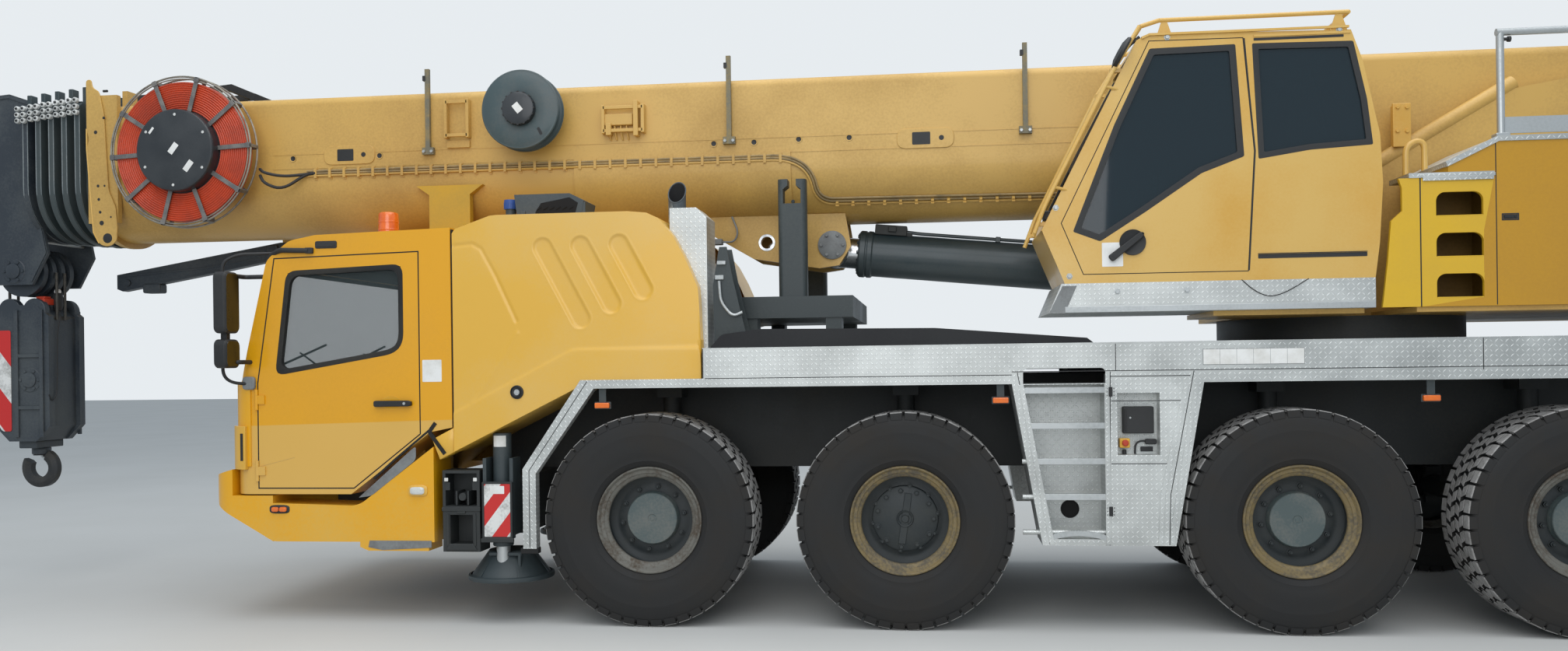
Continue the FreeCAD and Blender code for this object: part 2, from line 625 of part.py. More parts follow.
cab = cut(
    common(prism("XZ", CAB, -S.cab_side, S.cab_side, ((1, 60), (3, 120), (4, 160))),
           prism("XY", ((-2940, -S.cab_side), (-1300, -S.cab_side), (-1300, S.cab_side), (-2940, S.cab_side)),
                 S.nose_top - 5, 2700, ((0, 140), (3, 140)))),
    prism("XZ", CAB_INNER, -cab_in, cab_in),
    windscreen_hole, rear_hole, *both(door_hole, *hinge_pockets),
)
seat = fuse(
    block(-2150, -1700, -980, -500, S.cab_floor - 5, 1330),
    prism("XZ", ((-1760, 1300), (-1640, 1300), (-1520, 2050), (-1600, 2050)), -980, -500),
)
dash = prism("XZ", ((-2865, S.cab_floor - 5), (-2865, 1640), (-2640, 1640), (-2560, 1520),
                    (-2700, S.cab_floor - 5)), -cab_in + 40, cab_in - 40)
node("cab_shell", fuse(cab, *both(seat, *hinge_lugs), dash))
bumper = fuse(
    common(prism("XZ", ((-2935, 1050), (-3080, 1010), (-3110, 930), (-3070, 800),
                        (S.bumper_back, S.bumper_low), (S.bumper_back, 870), (-2935, 870)),
                 -S.cab_side, S.cab_side),
           prism("XY", ((-3115, -S.cab_side), (-2600, -S.cab_side), (-2600, S.cab_side), (-3115, S.cab_side)),
                 500, 1100, ((0, 170), (3, 170)))),
    *both(prism("XZ", ((-2700, S.bumper_low + 33), (S.bumper_back, S.bumper_low), (-1480, S.bumper_low),
                       (-1480, 1200), (-2020, 800), (-2700, 820)), -S.cab_side, -S.frame_half - 600,
                ((4, 180), (1, 120))),
          prism("XZ", ((-2010, 520), (-1950, 495), (-1520, 495), (-1520, S.bumper_low + 5),
                       (-2010, S.bumper_low + 5)), -S.cab_side, -S.cab_side + 220)),
)
node("bumper_steps", bumper)
windscreen = prism("XZ", ((-2850, 1710), (-2844, 1706), (-2670, 2430), (-2676, 2434)),
                   -1180 + S.seat_gap, 1180 - S.seat_gap)
rear_pane = block(-1380, -1380 + S.glass, -900 + S.seat_gap, 900 - S.seat_gap, 1905, 2495)
node("cab_glass", windscreen, rear_pane)
for side, turn, sign in SIDES:
    leaf = fuse(cut(prism("XZ", DOOR, -S.cab_side, -cab_in),
                    prism("XZ", grown(PANE, 3), -S.cab_side - 5, -cab_in + 5)), *hinge_leaves)
    pane = prism("XZ", grown(PANE, 2.5), -S.cab_side + 30, -S.cab_side + 30 + S.glass)
    door = group(leaf, pane)
    node(f"cab_door_{side}", door if sign < 0 else mirrored(door))

# Engine cover: two raised side covers joined by a low saddle under the boom, pressed grooves
COVER = ((-1335, 1325), (-1335, 2665), (-1045, S.cover_top), (40, S.cover_top), (135, 2700), (245, 2500),
         (360, 2240), (380, S.band_low + gap), (-460, S.band_low + gap), (-1435, 1110), (-1490, 1250))
COVER_INNER = ((-1305, 1340), (-1305, 2640), (-1040, 2725), (30, 2730), (115, 2680), (220, 2485),
               (330, 2235), (350, 1620), (-440, 1600), (-1435, 1000), (-1560, 1250))
GROOVES = ((-870, 2560, 1130), (-610, 2570, 1000), (-350, 2580, 760))  # top x, top z, length
grooves = []
for top_x, top_z, long in GROOVES:
    turn = math.radians(58)
    along = (math.cos(turn), -math.sin(turn))
    across = (math.sin(turn), math.cos(turn))
    wide, run = 62, long * 0.62
    spots = [(top_x + along[0] * a + across[0] * b, top_z + along[1] * a + across[1] * b)
             for a, b in ((0, -wide), (run, -wide), (run + wide * 0.8, 0), (run, wide), (0, wide),
                          (-wide * 0.8, 0))]
    grooves.append(prism("XZ", spots, -S.cab_side - 5, -S.cab_side + S.groove_deep))
pod = cut(prism("XZ", COVER, -S.cab_side, -S.pod_inner, ((2, 200), (3, 120))),
          prism("XZ", COVER_INNER, -S.cab_side + S.cover_wall, -S.pod_inner + S.cover_wall))
pod = cut(pod, block(-1800, 500, -S.pod_inner + 1 - 400, -S.pod_inner + S.cover_wall, 900, 2520))
pod = cut(pod, *grooves)
saddle = prism("XZ", ((-1335, 2480), (-1335, S.saddle_top - 40), (-1290, S.saddle_top), (130, S.saddle_top),
                      (200, S.saddle_top - 40), (200, S.saddle_top - 80), (120, S.saddle_top - S.cover_wall),
                      (-1290, S.saddle_top - S.cover_wall), (-1305, 2480)), -S.pod_inner - 5, S.pod_inner + 5)
column_gap = S.door_gap
column_foot = S.deck_top + gap
EXHAUST = ((150, column_foot), (150, 2780), (330, 2780), (400, 2715), (400, column_foot))
column_recess = block(98, 500, -1250 - column_gap, -950 + column_gap, 1500, 2900)
node("engine_cover", fuse(saddle, cut(pod, column_recess), mirrored(pod)))
node("engine_block", block(-1180, 150, -400, 400, S.frame_top, 2420))


# Turntable: floor, two cheeks that carry the boom's foot, side bearers and the pins
CHEEK = ((S.turn_front, S.turn_low), (S.turn_front, 2200), (4780, 2930), (5740, 3510), (6400, 3620),
         (6780, 3560), (6880, 3280), (7440, 2760), (7440, S.weight_low), (S.turn_rear, S.weight_low),
         (S.turn_rear, S.turn_low))
deck_low = S.turn_low + 30
cheek = prism("XZ", CHEEK, -S.cheek_out, -S.cheek_in)
turntable = fuse(
    *both(cheek),
    block(S.turn_front, S.turn_rear, -S.cheek_in - 5, S.cheek_in + 5, S.turn_low, S.turn_low + S.floor_thick),
    block(3650, 4560, -1250, -S.cheek_in, S.turn_low, deck_low),
    *both(block(4850, 7350, -1300, -S.cheek_in, S.turn_low, deck_low)),
    rod("Y", S.pin_radius, (S.pivot_x, S.pivot_z), -S.cheek_out - 25, S.cheek_out + 25),
    rod("Y", S.pin_radius * 0.8, (S.foot_x, S.foot_z), -S.cheek_in - 5, S.cheek_in + 5),
    rod("Y", 30, (S.tilt_x, S.tilt_z), -1000, -S.cheek_out + 5),
    *both(slanted((4740, -508, 2945), (5790, -508, 3560), S.cheek_tube)),
)
node("turntable", turntable)

# Machinery houses, with the step panel in front of the left one
HOUSE = ((5030, deck_low), (5030, 2890), (5320, 3030), (7300, 3030), (7300, deck_low))
STEPS = ((4957, 5230, 2085, 2230), (4957, 5230, 2335, 2480), (4957, 5230, 2585, 2730))  # x, x, z, z
house = prism("XZ", HOUSE, -S.house_out, -S.house_in)
house_left = cut(house, block(5020, 5295, -S.house_out - 10, -S.house_out + 310, deck_low - 5,
                              2850 + gap))
panel_x = 4870
panel = cut(block(panel_x, 5300, -S.house_out, -S.house_out + S.skin, deck_low, 2820),
            *[block(x0, x1, -S.house_out - 5, -S.house_out + S.skin + 5, z0, z1) for x0, x1, z0, z1 in STEPS])
treads = [block(panel_x, 5300, -S.house_out, -S.house_out + 305, z0 - S.skin, z0) for _, _, z0, _ in STEPS]
flank = block(panel_x, panel_x + S.skin, -S.house_out, -S.house_out + 305, deck_low, 2820)
apron = prism("XZ", ((4640, deck_low), (4672, 2300), (4695, 2560), (4760, 2620), (4760, 2760), (4740, 2820),
                     (4862, 2820), (4862, deck_low)), -S.house_out, -S.house_out + S.skin)
apron_stay = block(4780, panel_x + 5, -S.house_out + S.skin - 2, -S.house_out + S.skin + 20, 2100, 2700)
node("machinery_houses", fuse(house_left, panel, *treads, flank, apron, apron_stay), mirrored(house))

# Walkways: platform under the operator's cab, roofs of the houses with their railings, top tread
rail_y = -S.house_out + 30
rail_top, post_radius = 3700, 22
roof_low, roof_top = 3030, 3060
rail_posts = (5350, 6300, 7250)
rails = [rod("Z", post_radius, (x, rail_y), roof_top + gap, rail_top) for x in rail_posts]
rails.append(rod("X", post_radius, (rail_y, rail_top), rail_posts[0] - post_radius,
                 rail_posts[-1] + post_radius))
rails.append(block(rail_posts[0], rail_posts[-1], rail_y - 5, rail_y + 5, roof_top + 20, roof_top + 120))
rail = fuse(*rails)
roof = fuse(block(5320, 7310, -S.house_out - 5, -S.house_in, roof_low, roof_top),
            prism("XZ", ((5020, roof_low - 144), (5320, roof_low), (5320, roof_top), (5020, roof_top - 144)),
                  -S.house_out - 5, -S.house_in))
platform_top = S.booth_low - S.seat_gap
platform = prism("XZ", ((2620, deck_low), (2700, platform_top), (4595, platform_top), (4595, deck_low)),
                 -S.booth_out - 15, -S.booth_in)
tread = block(4800, 5295 - S.seat_gap, -S.house_out - 5, -S.house_out + 310 - S.seat_gap, 2820, 2850)
node("walkways", platform, *both(roof, rail), tread)

# Counterweight: slabs stacked on the turntable's tail, their rear corners cut for the tail swing
WEIGHT = ((S.weight_front, -1300), (S.weight_rear - 300, -1300), (S.weight_rear, -1000),
          (S.weight_rear, 1000), (S.weight_rear - 300, 1300), (S.weight_front, 1300))
node("counterweight", prism("XY", WEIGHT, S.weight_low, S.weight_top))

# Hoist winch between the cheeks
drum_half = S.cheek_in - 60
node("winch_drum", fuse(
    rod("Y", S.winch_radius * 0.75, (S.winch_x, S.winch_z), -drum_half, drum_half),
    *both(rod("Y", S.winch_radius, (S.winch_x, S.winch_z), -drum_half - 20, -drum_half)),
    rod("Y", 70, (S.winch_x, S.winch_z), -S.cheek_in + S.seat_gap, S.cheek_in - S.seat_gap),
))

# Operator's cab: hollow, windows cut through, the sliding door a piece of its own
BOOTH = ((2582, 2560), (2723, S.booth_low), (4600, S.booth_low), (4628, 2430), (4651, 2800), (4637, 3100),
         (4540, 3560), (4474, 3750), (3250, 3775), (3183, 3740))
BOOTH_DOOR = ((2708, 2600), (2841, 2275), (3843, 2275), (3888, 3020), (3858, 3370), (3828, 3725),
              (3262, 3730))
BOOTH_PANE = ((2790, 2550), (2945, 2490), (3227, 2670), (3567, 2900), (3820, 2995), (3775, 3680),
              (3270, 3675), (3050, 3210))
BOOTH_REAR_PANE = ((3925, 2980), (4222, 3025), (4585, 3045), (4553, 3320), (4478, 3670), (3895, 3680))
side_in = -S.booth_out + S.booth_wall
booth = cut(
    prism("XZ", BOOTH, -S.booth_out, -S.booth_in),
    prism("XZ", grown(BOOTH, -S.booth_wall), side_in, -S.booth_in - S.booth_wall),
    prism("XZ", grown(BOOTH_DOOR, 4), -S.booth_out - 5, side_in + 5),
    prism("XZ", BOOTH_REAR_PANE, -S.booth_out - 5, side_in + 5),
    prism("XZ", ((2480, 2640), (2720, 2640), (3270, 3660), (3080, 3660)), side_in + 20, -S.booth_in - 65),
    prism("XZ", ((2900, 2900), (4400, 2900), (4400, 3600), (3230, 3600)), -S.booth_in - 60, -S.booth_in + 5),
)
lug_bore = rod("Y", 30 + S.seat_gap, (S.tilt_x, S.tilt_z), -1000, -S.booth_in)
tilt_lugs = [cut(block(4610, S.tilt_x + 42, y, y + 40, S.tilt_z - 45, S.tilt_z + 45), lug_bore)
             for y in (-900, -680)]
booth_seat = fuse(block(3500, 4000, -1180, -720, 2250, 2750),
                  prism("XZ", ((3930, 2700), (4050, 2700), (4170, 3400), (4090, 3400)), -1180, -720))
ROOF_RAIL = ((4470, 3868), (3330, 3868), (3215, 3835), (3035, 3560), (2598, 2700), (2530, 2520))
rail_radius = 14
booth_rails = [rod("Y", rail_radius, ROOF_RAIL[0], -S.booth_out + 30, -S.booth_in - 30)]
for y in (-S.booth_out + 30, -S.booth_in - 30):
    booth_rails += [slanted((a[0], y, a[1]), (b[0], y, b[1]), rail_radius)
                    for a, b in zip(ROOF_RAIL, ROOF_RAIL[1:])]
    booth_rails += [prism("XZ", ((x - 55, 3745), (x + 55, 3745), (x + 14, 3868), (x - 14, 3868)),
                          y - 5, y + 5) for x in (3360, 4410)]
    booth_rails += [block(x, x + 80, y - rail_radius, y + rail_radius, z - 12, z + 12)
                    for x, z in ((2552, 2600), (3020, 3560))]
node("booth_shell", fuse(booth, *tilt_lugs, booth_seat, *booth_rails))
runner = block(3000, 3300, -S.booth_out + 10, side_in - 10, 2271 + S.seat_gap, 2280)
node("booth_door", fuse(cut(prism("XZ", BOOTH_DOOR, -S.booth_out, side_in),
                            prism("XZ", BOOTH_PANE, -S.booth_out - 5, side_in + 5)), runner))
pane_out = -S.booth_out + 12
node("booth_glass",
     prism("XZ", grown(BOOTH_PANE, -0.3), pane_out, pane_out + S.glass),
     prism("XZ", grown(BOOTH_REAR_PANE, -0.3), pane_out, pane_out + S.glass),
     prism("XZ", ((2638, 2645), (2646, 2641), (3162, 3654), (3154, 3658)), side_in + 20.3, -S.booth_in - 65.3),
     prism("XZ", grown(((2900, 2900), (4400, 2900), (4400, 3600), (3230, 3600)), -0.3),
           -S.booth_in - 25, -S.booth_in - 25 + S.glass))


# Boom: U-shaped sections nested in each other, each with its collar
def shell(half, low, high, start, end, corner=60):
    """A solid bar of the boom's section: flat sides and top, round underneath."""
    half = as_size(half)
    points = ((-half, low), (half, low), (half, high), (-half, high))
    return prism("YZ", points, start, end, ((0, half * 0.96), (1, half * 0.96), (2, corner), (3, corner)))


def section(step):
    """Half width, underside and upper side of a boom section; step 0 is the base section."""
    inside = S.boom_step * step
    return S.boom_half - inside, S.boom_low + inside, S.boom_high - inside


def collar(step, bore):
    """The collar plate round a section's front end, open for the next section or left solid."""
    half, low, high = section(step)
    out = S.collar_out / 2 + S.boom_step * step * 0.7
    front = S.collar_at - S.collar_pitch * step
    plate = fuse(shell(half + out, low - out, high + out, front, front + S.collar_thick),
                 block(front, front + S.collar_thick, -60, 60, high, 4030 - 30 * step))
    if not bore:
        return plate
    half, low, high = section(step + 1)
    gap = S.seat_gap
    return cut(plate, shell(half + gap, low - gap, high + gap, front - 5, front + S.collar_thick + 5))


def tube(step, rear):
    half, low, high = section(step)
    wall = S.boom_wall
    front = S.collar_at - S.collar_pitch * step + 5
    return cut(shell(half, low, high, front, rear),
               shell(half - wall, low + wall, high - wall, front - 5, rear + 5, 50))


eye_half = 165
bracket = prism("XZ", ((100, 2845), (1250, 2845), (1290, 2600), (1200, 2460), (1050, 2440), (560, 2520),
                       (150, 2760)), -235, -175)
bracket_hole = rod("Y", 45, (660, 2640), -240, -170)
doubler = cut(shell(S.boom_half + 12, S.boom_low - 12, S.boom_high, -760, 870),
              shell(S.boom_half - 2, S.boom_low + 2, S.boom_high + 20, -765, 875),
              block(-770, 880, -500, 500, 3280, 4000))
pivot_boss = rod("Y", 190, (S.pivot_x, S.pivot_z), -S.cheek_in + S.seat_gap, -S.boom_half + 10)
pivot_bore = rod("Y", S.pin_radius + S.seat_gap, (S.pivot_x, S.pivot_z), -600, 600)
stiffener = block(S.collar_at, S.collar_at + 250, -S.boom_half - 42, -S.boom_half + 2, 2900, 3900)
hanger = block(-3500, -3320, 290, 360, S.hanger_low, 2928)
saddle_bracket = prism("XZ", ((-1880, 2700), (-1560, 2700), (-1560, 3040), (-1460, 3110), (-1980, 3110),
                              (-1880, 3040)), -S.boom_half - 40, -S.boom_half + 22)
guide_top = 4018
guides = []
for y in (-180, 140):
    guides.append(prism("XZ", ((-4440, 3960), (-3900, guide_top - 20), (-3640, guide_top),
                               (-3230, S.boom_high + 14), (-3130, S.boom_high - 6), (-3330, S.boom_high - 6),
                               (-3660, guide_top - 50), (-3900, guide_top - 60), (-4440, 3910)), y, y + 40))
guides.append(block(-3700, -3640, -180, 180, guide_top - 45, guide_top - 5))
guides.append(block(-4450, -4420, -180, 180, S.boom_high - 5, 3950))
bars = [fuse(block(x - 17, x + 17, -S.boom_half - 34, -S.boom_half - 8, 3400, 3995),
             block(x - 45, x + 45, -S.boom_half - 34, -S.boom_half + 2, 3350, 3402))
        for x in (-1890, 420, 2560)]
base = cut(fuse(tube(0, S.boom_tail), doubler, collar(0, True), *both(cut(bracket, bracket_hole)),
                *both(pivot_boss), hanger, saddle_bracket, *guides, *bars,
                *both(stiffener, rod("Y", 55, (S.eye_x, S.eye_z), -245, -eye_half - 5))), pivot_bore)
node("boom_base", base)
for step in (1, 2, 3, 4):
    rear = S.nest_rear - S.nest_step * step
    node(f"boom_section_{step}", fuse(tube(step, rear), collar(step, True)))

# Last section with the boom head: cheeks, cross pins and sheaves
last = 5
half, low, high = section(last)
HEAD = ((-5235, 2960), (-5235, 3900), (-5500, 3990), (-5900, 3960), (S.head_front, 3800), (-5960, 3300),
        (-5760, 2700), (-5640, 2450), (-5320, 2450), (-5180, 2700))
head_cheek = prism("XZ", HEAD, -S.head_half - 26, -S.head_half)
sheaves = []
for x, z, places in ((-5720, 3740, (-120, 75)), (S.hang_x, S.hang_z, (-190, -95, 0, 95))):
    sheaves.append(rod("Y", 45, (x, z), -S.head_half - 5, S.head_half + 5))
    for y in places:
        sheaves.append(rod("Y", S.sheave_radius, (x, z), y, y + 45))
front = S.collar_at - S.collar_pitch * last
node("boom_head", fuse(
    tube(last, S.nest_rear - S.nest_step * last), shell(half, low, high, front - 160, front + 5),
    collar(last, False), *both(head_cheek), *sheaves,
))

# Lift cylinder, closed; its eye turns on the boom's pin
run = FreeCAD.Vector((S.eye_x - S.foot_x).number, 0, (S.eye_z - S.foot_z).number)
long = run.Length
way = run / long


def along(distance):
    return (S.foot_x + way.x * distance, 0, S.foot_z + way.z * distance)


barrel = cut(
    fuse(slanted(along(0), along(long - 190), S.barrel_out),
         rod("Y", 155, (S.foot_x, S.foot_z), -200, 200)),
    slanted(along(210), along(long - 150), S.rod_out + S.seat_gap),
    rod("Y", S.pin_radius * 0.8 + S.seat_gap, (S.foot_x, S.foot_z), -210, 210),
)
node("lift_barrel", barrel)
eye = cut(fuse(slanted(along(240), along(long - 20), S.rod_out),
               rod("Y", 118, (S.eye_x, S.eye_z), -eye_half, eye_half)),
          rod("Y", 55 + S.seat_gap, (S.eye_x, S.eye_z), -eye_half - 5, eye_half + 5))
node("lift_rod", eye)

# Reels on the boom's left side
axle_in = -S.boom_half - S.seat_gap
node("hose_reel", fuse(
    rod("Y", S.reel_radius, (S.reel_x, S.reel_z), -655, -560),
    rod("Y", S.reel_radius * 0.54, (S.reel_x, S.reel_z), -735, -650),
    rod("Y", 70, (S.reel_x, S.reel_z), -565, axle_in),
))
node("cable_reel", fuse(
    rod("Y", S.drum_radius, (S.drum_x, S.drum_z), -690, -560),
    rod("Y", S.drum_radius * 0.42, (S.drum_x, S.drum_z), -740, -685),
    rod("Y", 55, (S.drum_x, S.drum_z), -565, axle_in),
))

# Hook block under the head, with its hook on a swivel
BLOCK = ((-240, S.hook_top - 90), (-130, S.hook_top), (130, S.hook_top), (240, S.hook_top - 90),
         (240, S.hook_low + 120), (120, S.hook_low), (-120, S.hook_low), (-240, S.hook_low + 120))
block_plates = [prism("XZ", [(S.hang_x + x, z) for x, z in BLOCK], y, y + 60) for y in (-200, 140)]
block_body = prism("XZ", [(S.hang_x + x * 0.85, z) for x, z in BLOCK], -145, 145)
rope_at = S.sheave_radius + S.seat_gap + S.rope_radius
ropes = [rod("Z", S.rope_radius, (S.hang_x + side * rope_at, y), S.hook_top - 120, S.hang_z)
         for side in (-1, 1) for y in (-70, 20)]
node("hook_block", fuse(block_body, *block_plates, *ropes))

# Hook: three quarters of a ring below its shank, on the block's swivel
HOOK_SECTION = ((78, -26), (122, -40), (160, -24), (160, 24), (122, 40), (78, 26))  # radius, place in Y
bowl = doc.addObject("Part::Revolution", "HookBowl")
bowl.Source = outline("XY", HOOK_SECTION)
bowl.Axis = FreeCAD.Vector(0, 1, 0)
bowl.Angle = 270
bowl.Solid = True
bowl.Placement = FreeCAD.Placement(FreeCAD.Vector(), FreeCAD.Rotation(FreeCAD.Vector(0, 1, 0), -60))
tie(bowl, x=S.hang_x, z=S.hook_low - 230)
shank = fuse(rod("Z", 38, (S.hang_x, 0), S.hook_low - 90, S.hook_low - S.seat_gap),
             cone(62, 38, (S.hang_x, 0), S.hook_low - 125, S.hook_low - 85))
node("hook", fuse(bowl, shank))

# Stowed jib beam under the boom's right side
node("jib_beam", prism("XZ", ((-5000, 2440), (-4950, 2420), (-3300, 2700), (-3300, S.hanger_low - S.seat_gap),
                              (-3520, S.hanger_low - S.seat_gap), (-5000, 2560)), 290, 360))

# Stands on the carrier: slab stand on four feet with its two posts, each forked at the top with
# a slot that narrows to hooked lips; brackets beside it, the cover over the hoses and the boom rest
slab_top, slab_low = 2200, 2050
fork_low, lip_low = 2850, 2950
SLAB = ((250, slab_low - 50), (480, slab_low), (1340, slab_low), (1340, slab_top), (520, slab_top),
        (250, slab_low + 60))
slot_half, mouth_half = 62, 30
FORK = [(S.post_x + x, z) for x, z in (
    (-slot_half, fork_low), (slot_half, fork_low), (slot_half, lip_low), (mouth_half, lip_low + 25),
    (mouth_half, S.post_top + 5), (-mouth_half, S.post_top + 5), (-mouth_half, lip_low + 25),
    (-slot_half, lip_low))]
POST = [(S.post_x + x, y - S.post_at) for x, y in ((-100, -60), (100, -60), (100, 60), (-100, 60))]
post = cut(prism("XY", POST, slab_top - 5, S.post_top, [(corner, 35) for corner in range(len(POST))]),
           prism("XZ", FORK, -S.post_at - 65, -S.post_at + 65))
stand = fuse(
    prism("XZ", SLAB, -S.post_at - 90, S.post_at + 90),
    *both(*[block(x, x + 110, -S.post_at - 80, -S.post_at + 80, S.deck_top + gap, slab_low + 5)
            for x in (560, 1150)], post),
)
rack = fuse(*[prism("XZ", ((430, S.deck_top + gap), (424, 2260), (470, 2520), (520, 2520), (560, 2300),
                           (640, slab_low - 90), (640, S.deck_top + gap)), y, y + 14) for y in (-1180, -980)],
            block(440, 500, -1180, -966, 1950, 2010))
hose_cover = prism("XZ", ((420, S.deck_top + gap), (500, 1930), (760, 1962), (1900, 1950), (2860, 1872),
                          (2900, S.deck_top + gap)), -1300, -1195, ((1, 60), (2, 200), (3, 400)))
rest = block(-1230, -1130, -120, 120, S.saddle_top, S.boom_low - S.seat_gap)
node("deck_stands", stand, rack, hose_cover, rest)

# Exhaust column of checker plate in the cover's recess, its pipe cut obliquely towards the side,
# and the air intake with its hood and cap
PIPE = (170, -1100)
pipe = cut(rod("Z", 60, PIPE, 2700, 3010), rod("Z", 54, PIPE, 2790, 3020),
           prism("YZ", ((-1180, 2800), (-1020, 3010), (-1020, 3030), (-1180, 3030)), 60, 280))
column = fuse(prism("XZ", EXHAUST, -1250, -950), pipe)
hood = prism("XZ", ((-930, S.cover_top + gap), (-950, 2912), (-560, 2912), (-460, 2860),
                    (-480, S.cover_top + gap)), -1180, -900)
cap = fuse(rod("Z", 36, (-1010, -1080), S.cover_top + gap, 2830), rod("Z", 46, (-1010, -1080), 2825, 2890))
node("exhaust_stack", column, hood, cap)

# Mirrors on their arms and the beacon on the cab's roof
mirror = fuse(block(-2900, -2800, -1600, -1430, 1750, 2400), rod("Y", 16, (-2850, 2380), -1500, -1284),
              rod("X", 16, (-1300, 2380), -2850, -2696), rod("X", 16, (-1460, 1790), -2850, -2774),
              rod("Y", 16, (-2790, 1790), -1476, -S.cab_side - S.seat_gap))
BEACON = (-1990, -900)
beacon = fuse(rod("Z", 62, BEACON, 2665 + gap, 2700), cone(54, 46, BEACON, 2695, 2850))
node("mirrors", *both(mirror), beacon)


doc.recompute()
for thing in doc.Objects:
    if "Invalid" in thing.State or "Error" in thing.State:
        raise RuntimeError(f"{thing.Label} ({thing.TypeId}) failed: {thing.State}")
os.makedirs("parts", exist_ok=True)
for piece in NODES:
    shape = piece.Shape
    if shape.isNull() or not shape.isValid() or not shape.Solids:
        raise RuntimeError(f"{piece.Label} has no valid solid")
    shape.exportStep(f"parts/{piece.Label}.step")
    print(f"{piece.Label:28s} {len(shape.Solids):3d} solids {shape.Volume / 1e9:8.4f} m3")
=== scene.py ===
"""Looks of a five-axle mobile crane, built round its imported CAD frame.

Metres, +Z up, the front of the carrier towards -X and its left side towards -Y. Places along the
machine are measured back from the first axle, whose own place in the frame is FIRST_AXLE.
"""
import math

import bmesh
import bpy
import numpy as np
from mathutils import Matrix


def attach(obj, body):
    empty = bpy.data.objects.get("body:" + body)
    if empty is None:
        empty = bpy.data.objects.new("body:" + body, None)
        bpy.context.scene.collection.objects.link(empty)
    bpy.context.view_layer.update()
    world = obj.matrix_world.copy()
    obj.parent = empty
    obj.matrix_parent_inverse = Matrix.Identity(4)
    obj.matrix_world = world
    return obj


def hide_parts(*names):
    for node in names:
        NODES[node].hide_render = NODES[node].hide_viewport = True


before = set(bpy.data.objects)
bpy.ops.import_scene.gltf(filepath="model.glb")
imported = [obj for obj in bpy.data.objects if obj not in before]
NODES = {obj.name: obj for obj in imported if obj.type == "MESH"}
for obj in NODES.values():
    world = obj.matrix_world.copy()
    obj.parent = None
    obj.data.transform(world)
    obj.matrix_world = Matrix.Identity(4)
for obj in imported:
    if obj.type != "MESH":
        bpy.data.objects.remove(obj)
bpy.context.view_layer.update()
FIRST_AXLE = -1.57

# Camera: stands nine metres off the left side at a driver's eye height and looks square across the
# machine, turned a little to the front, with a lens as wide as a telephone's main one.
SENSOR, PHOTO_WIDTH, FOCAL_PIXELS = 36, 2016, 1500
YAW, ROLL = math.radians(-6.75), math.radians(-0.747)
STAND = (FIRST_AXLE + 1.891, -8.889, 1.727)
camera = bpy.data.objects.new("camera", bpy.data.cameras.new("camera"))
bpy.context.scene.collection.objects.link(camera)
bpy.context.scene.camera = camera
camera.data.lens = SENSOR * FOCAL_PIXELS / PHOTO_WIDTH
camera.data.shift_x, camera.data.shift_y = -0.0076, 0.0247
camera.data.clip_end = 300
ahead = np.array([math.sin(YAW), math.cos(YAW), 0.0])
right = np.array([math.cos(YAW), -math.sin(YAW), 0.0])
up = np.array([0.0, 0.0, 1.0])
right, up = math.cos(ROLL) * right + math.sin(ROLL) * up, math.cos(ROLL) * up - math.sin(ROLL) * right
pose = np.eye(4)
pose[:3, 0], pose[:3, 1], pose[:3, 2] = right, up, -ahead
pose[:3, 3] = STAND
camera.matrix_world = Matrix(pose.tolist())


# Stage: a pale floor and an even pale backdrop under an overcast sky, with a broad soft lamp
# overhead and a weaker one behind the camera, so that no side of the machine is left in the dark.
def nodes_of(shaded):
    """Empties a material's or world's node tree and gives the function that adds nodes to it."""
    shaded.use_nodes = True
    tree = shaded.node_tree
    tree.nodes.clear()

    def add(kind, inputs=(), **settings):
        """A node; inputs maps each socket to a value or to the output of another node that feeds it."""
        made = tree.nodes.new("ShaderNode" + kind)
        for name, value in settings.items():
            setattr(made, name, value)
        for socket, value in dict(inputs).items():
            if isinstance(value, bpy.types.NodeSocket):
                tree.links.new(value, made.inputs[socket])
            else:
                made.inputs[socket].default_value = value
        return made

    return add


world = bpy.data.worlds.new("overcast")
bpy.context.scene.world = world
add = nodes_of(world)
path = add("LightPath")
sky = add("Background", {0: (0.8, 0.9, 1.0, 1), 1: 0.62})
backdrop = add("Background", {0: (0.8, 0.84, 0.87, 1), 1: 1.0})
seen = add("Math", {0: path.outputs["Is Camera Ray"], 1: path.outputs["Is Transmission Ray"]},
    operation="MAXIMUM")
mixed = add("MixShader", {0: seen.outputs[0], 1: sky.outputs[0], 2: backdrop.outputs[0]})
add("OutputWorld", {0: mixed.outputs[0]})
bpy.context.scene.view_settings.view_transform = "Standard"

floor_mesh = bpy.data.meshes.new("floor")
floor_mesh.from_pydata([(-60, -40, 0), (60, -40, 0), (60, 60, 0), (-60, 60, 0)], [], [(0, 1, 2, 3)])
floor = bpy.data.objects.new("floor", floor_mesh)
bpy.context.scene.collection.objects.link(floor)
concrete = bpy.data.materials.new("pale_concrete")
add = nodes_of(concrete)
grain = add("TexNoise", {"Vector": add("TexCoord").outputs["Object"], "Scale": 0.6, "Detail": 6})
ramp = add("ValToRGB", {0: grain.outputs["Fac"]})
for stop, colour in zip(ramp.color_ramp.elements, ((0.52, 0.52, 0.5, 1), (0.6, 0.6, 0.585, 1))):
    stop.color = colour
surface = add("BsdfPrincipled", {"Base Color": ramp.outputs[0], "Roughness": 0.9})
add("OutputMaterial", {0: surface.outputs[0]})
floor_mesh.materials.append(concrete)

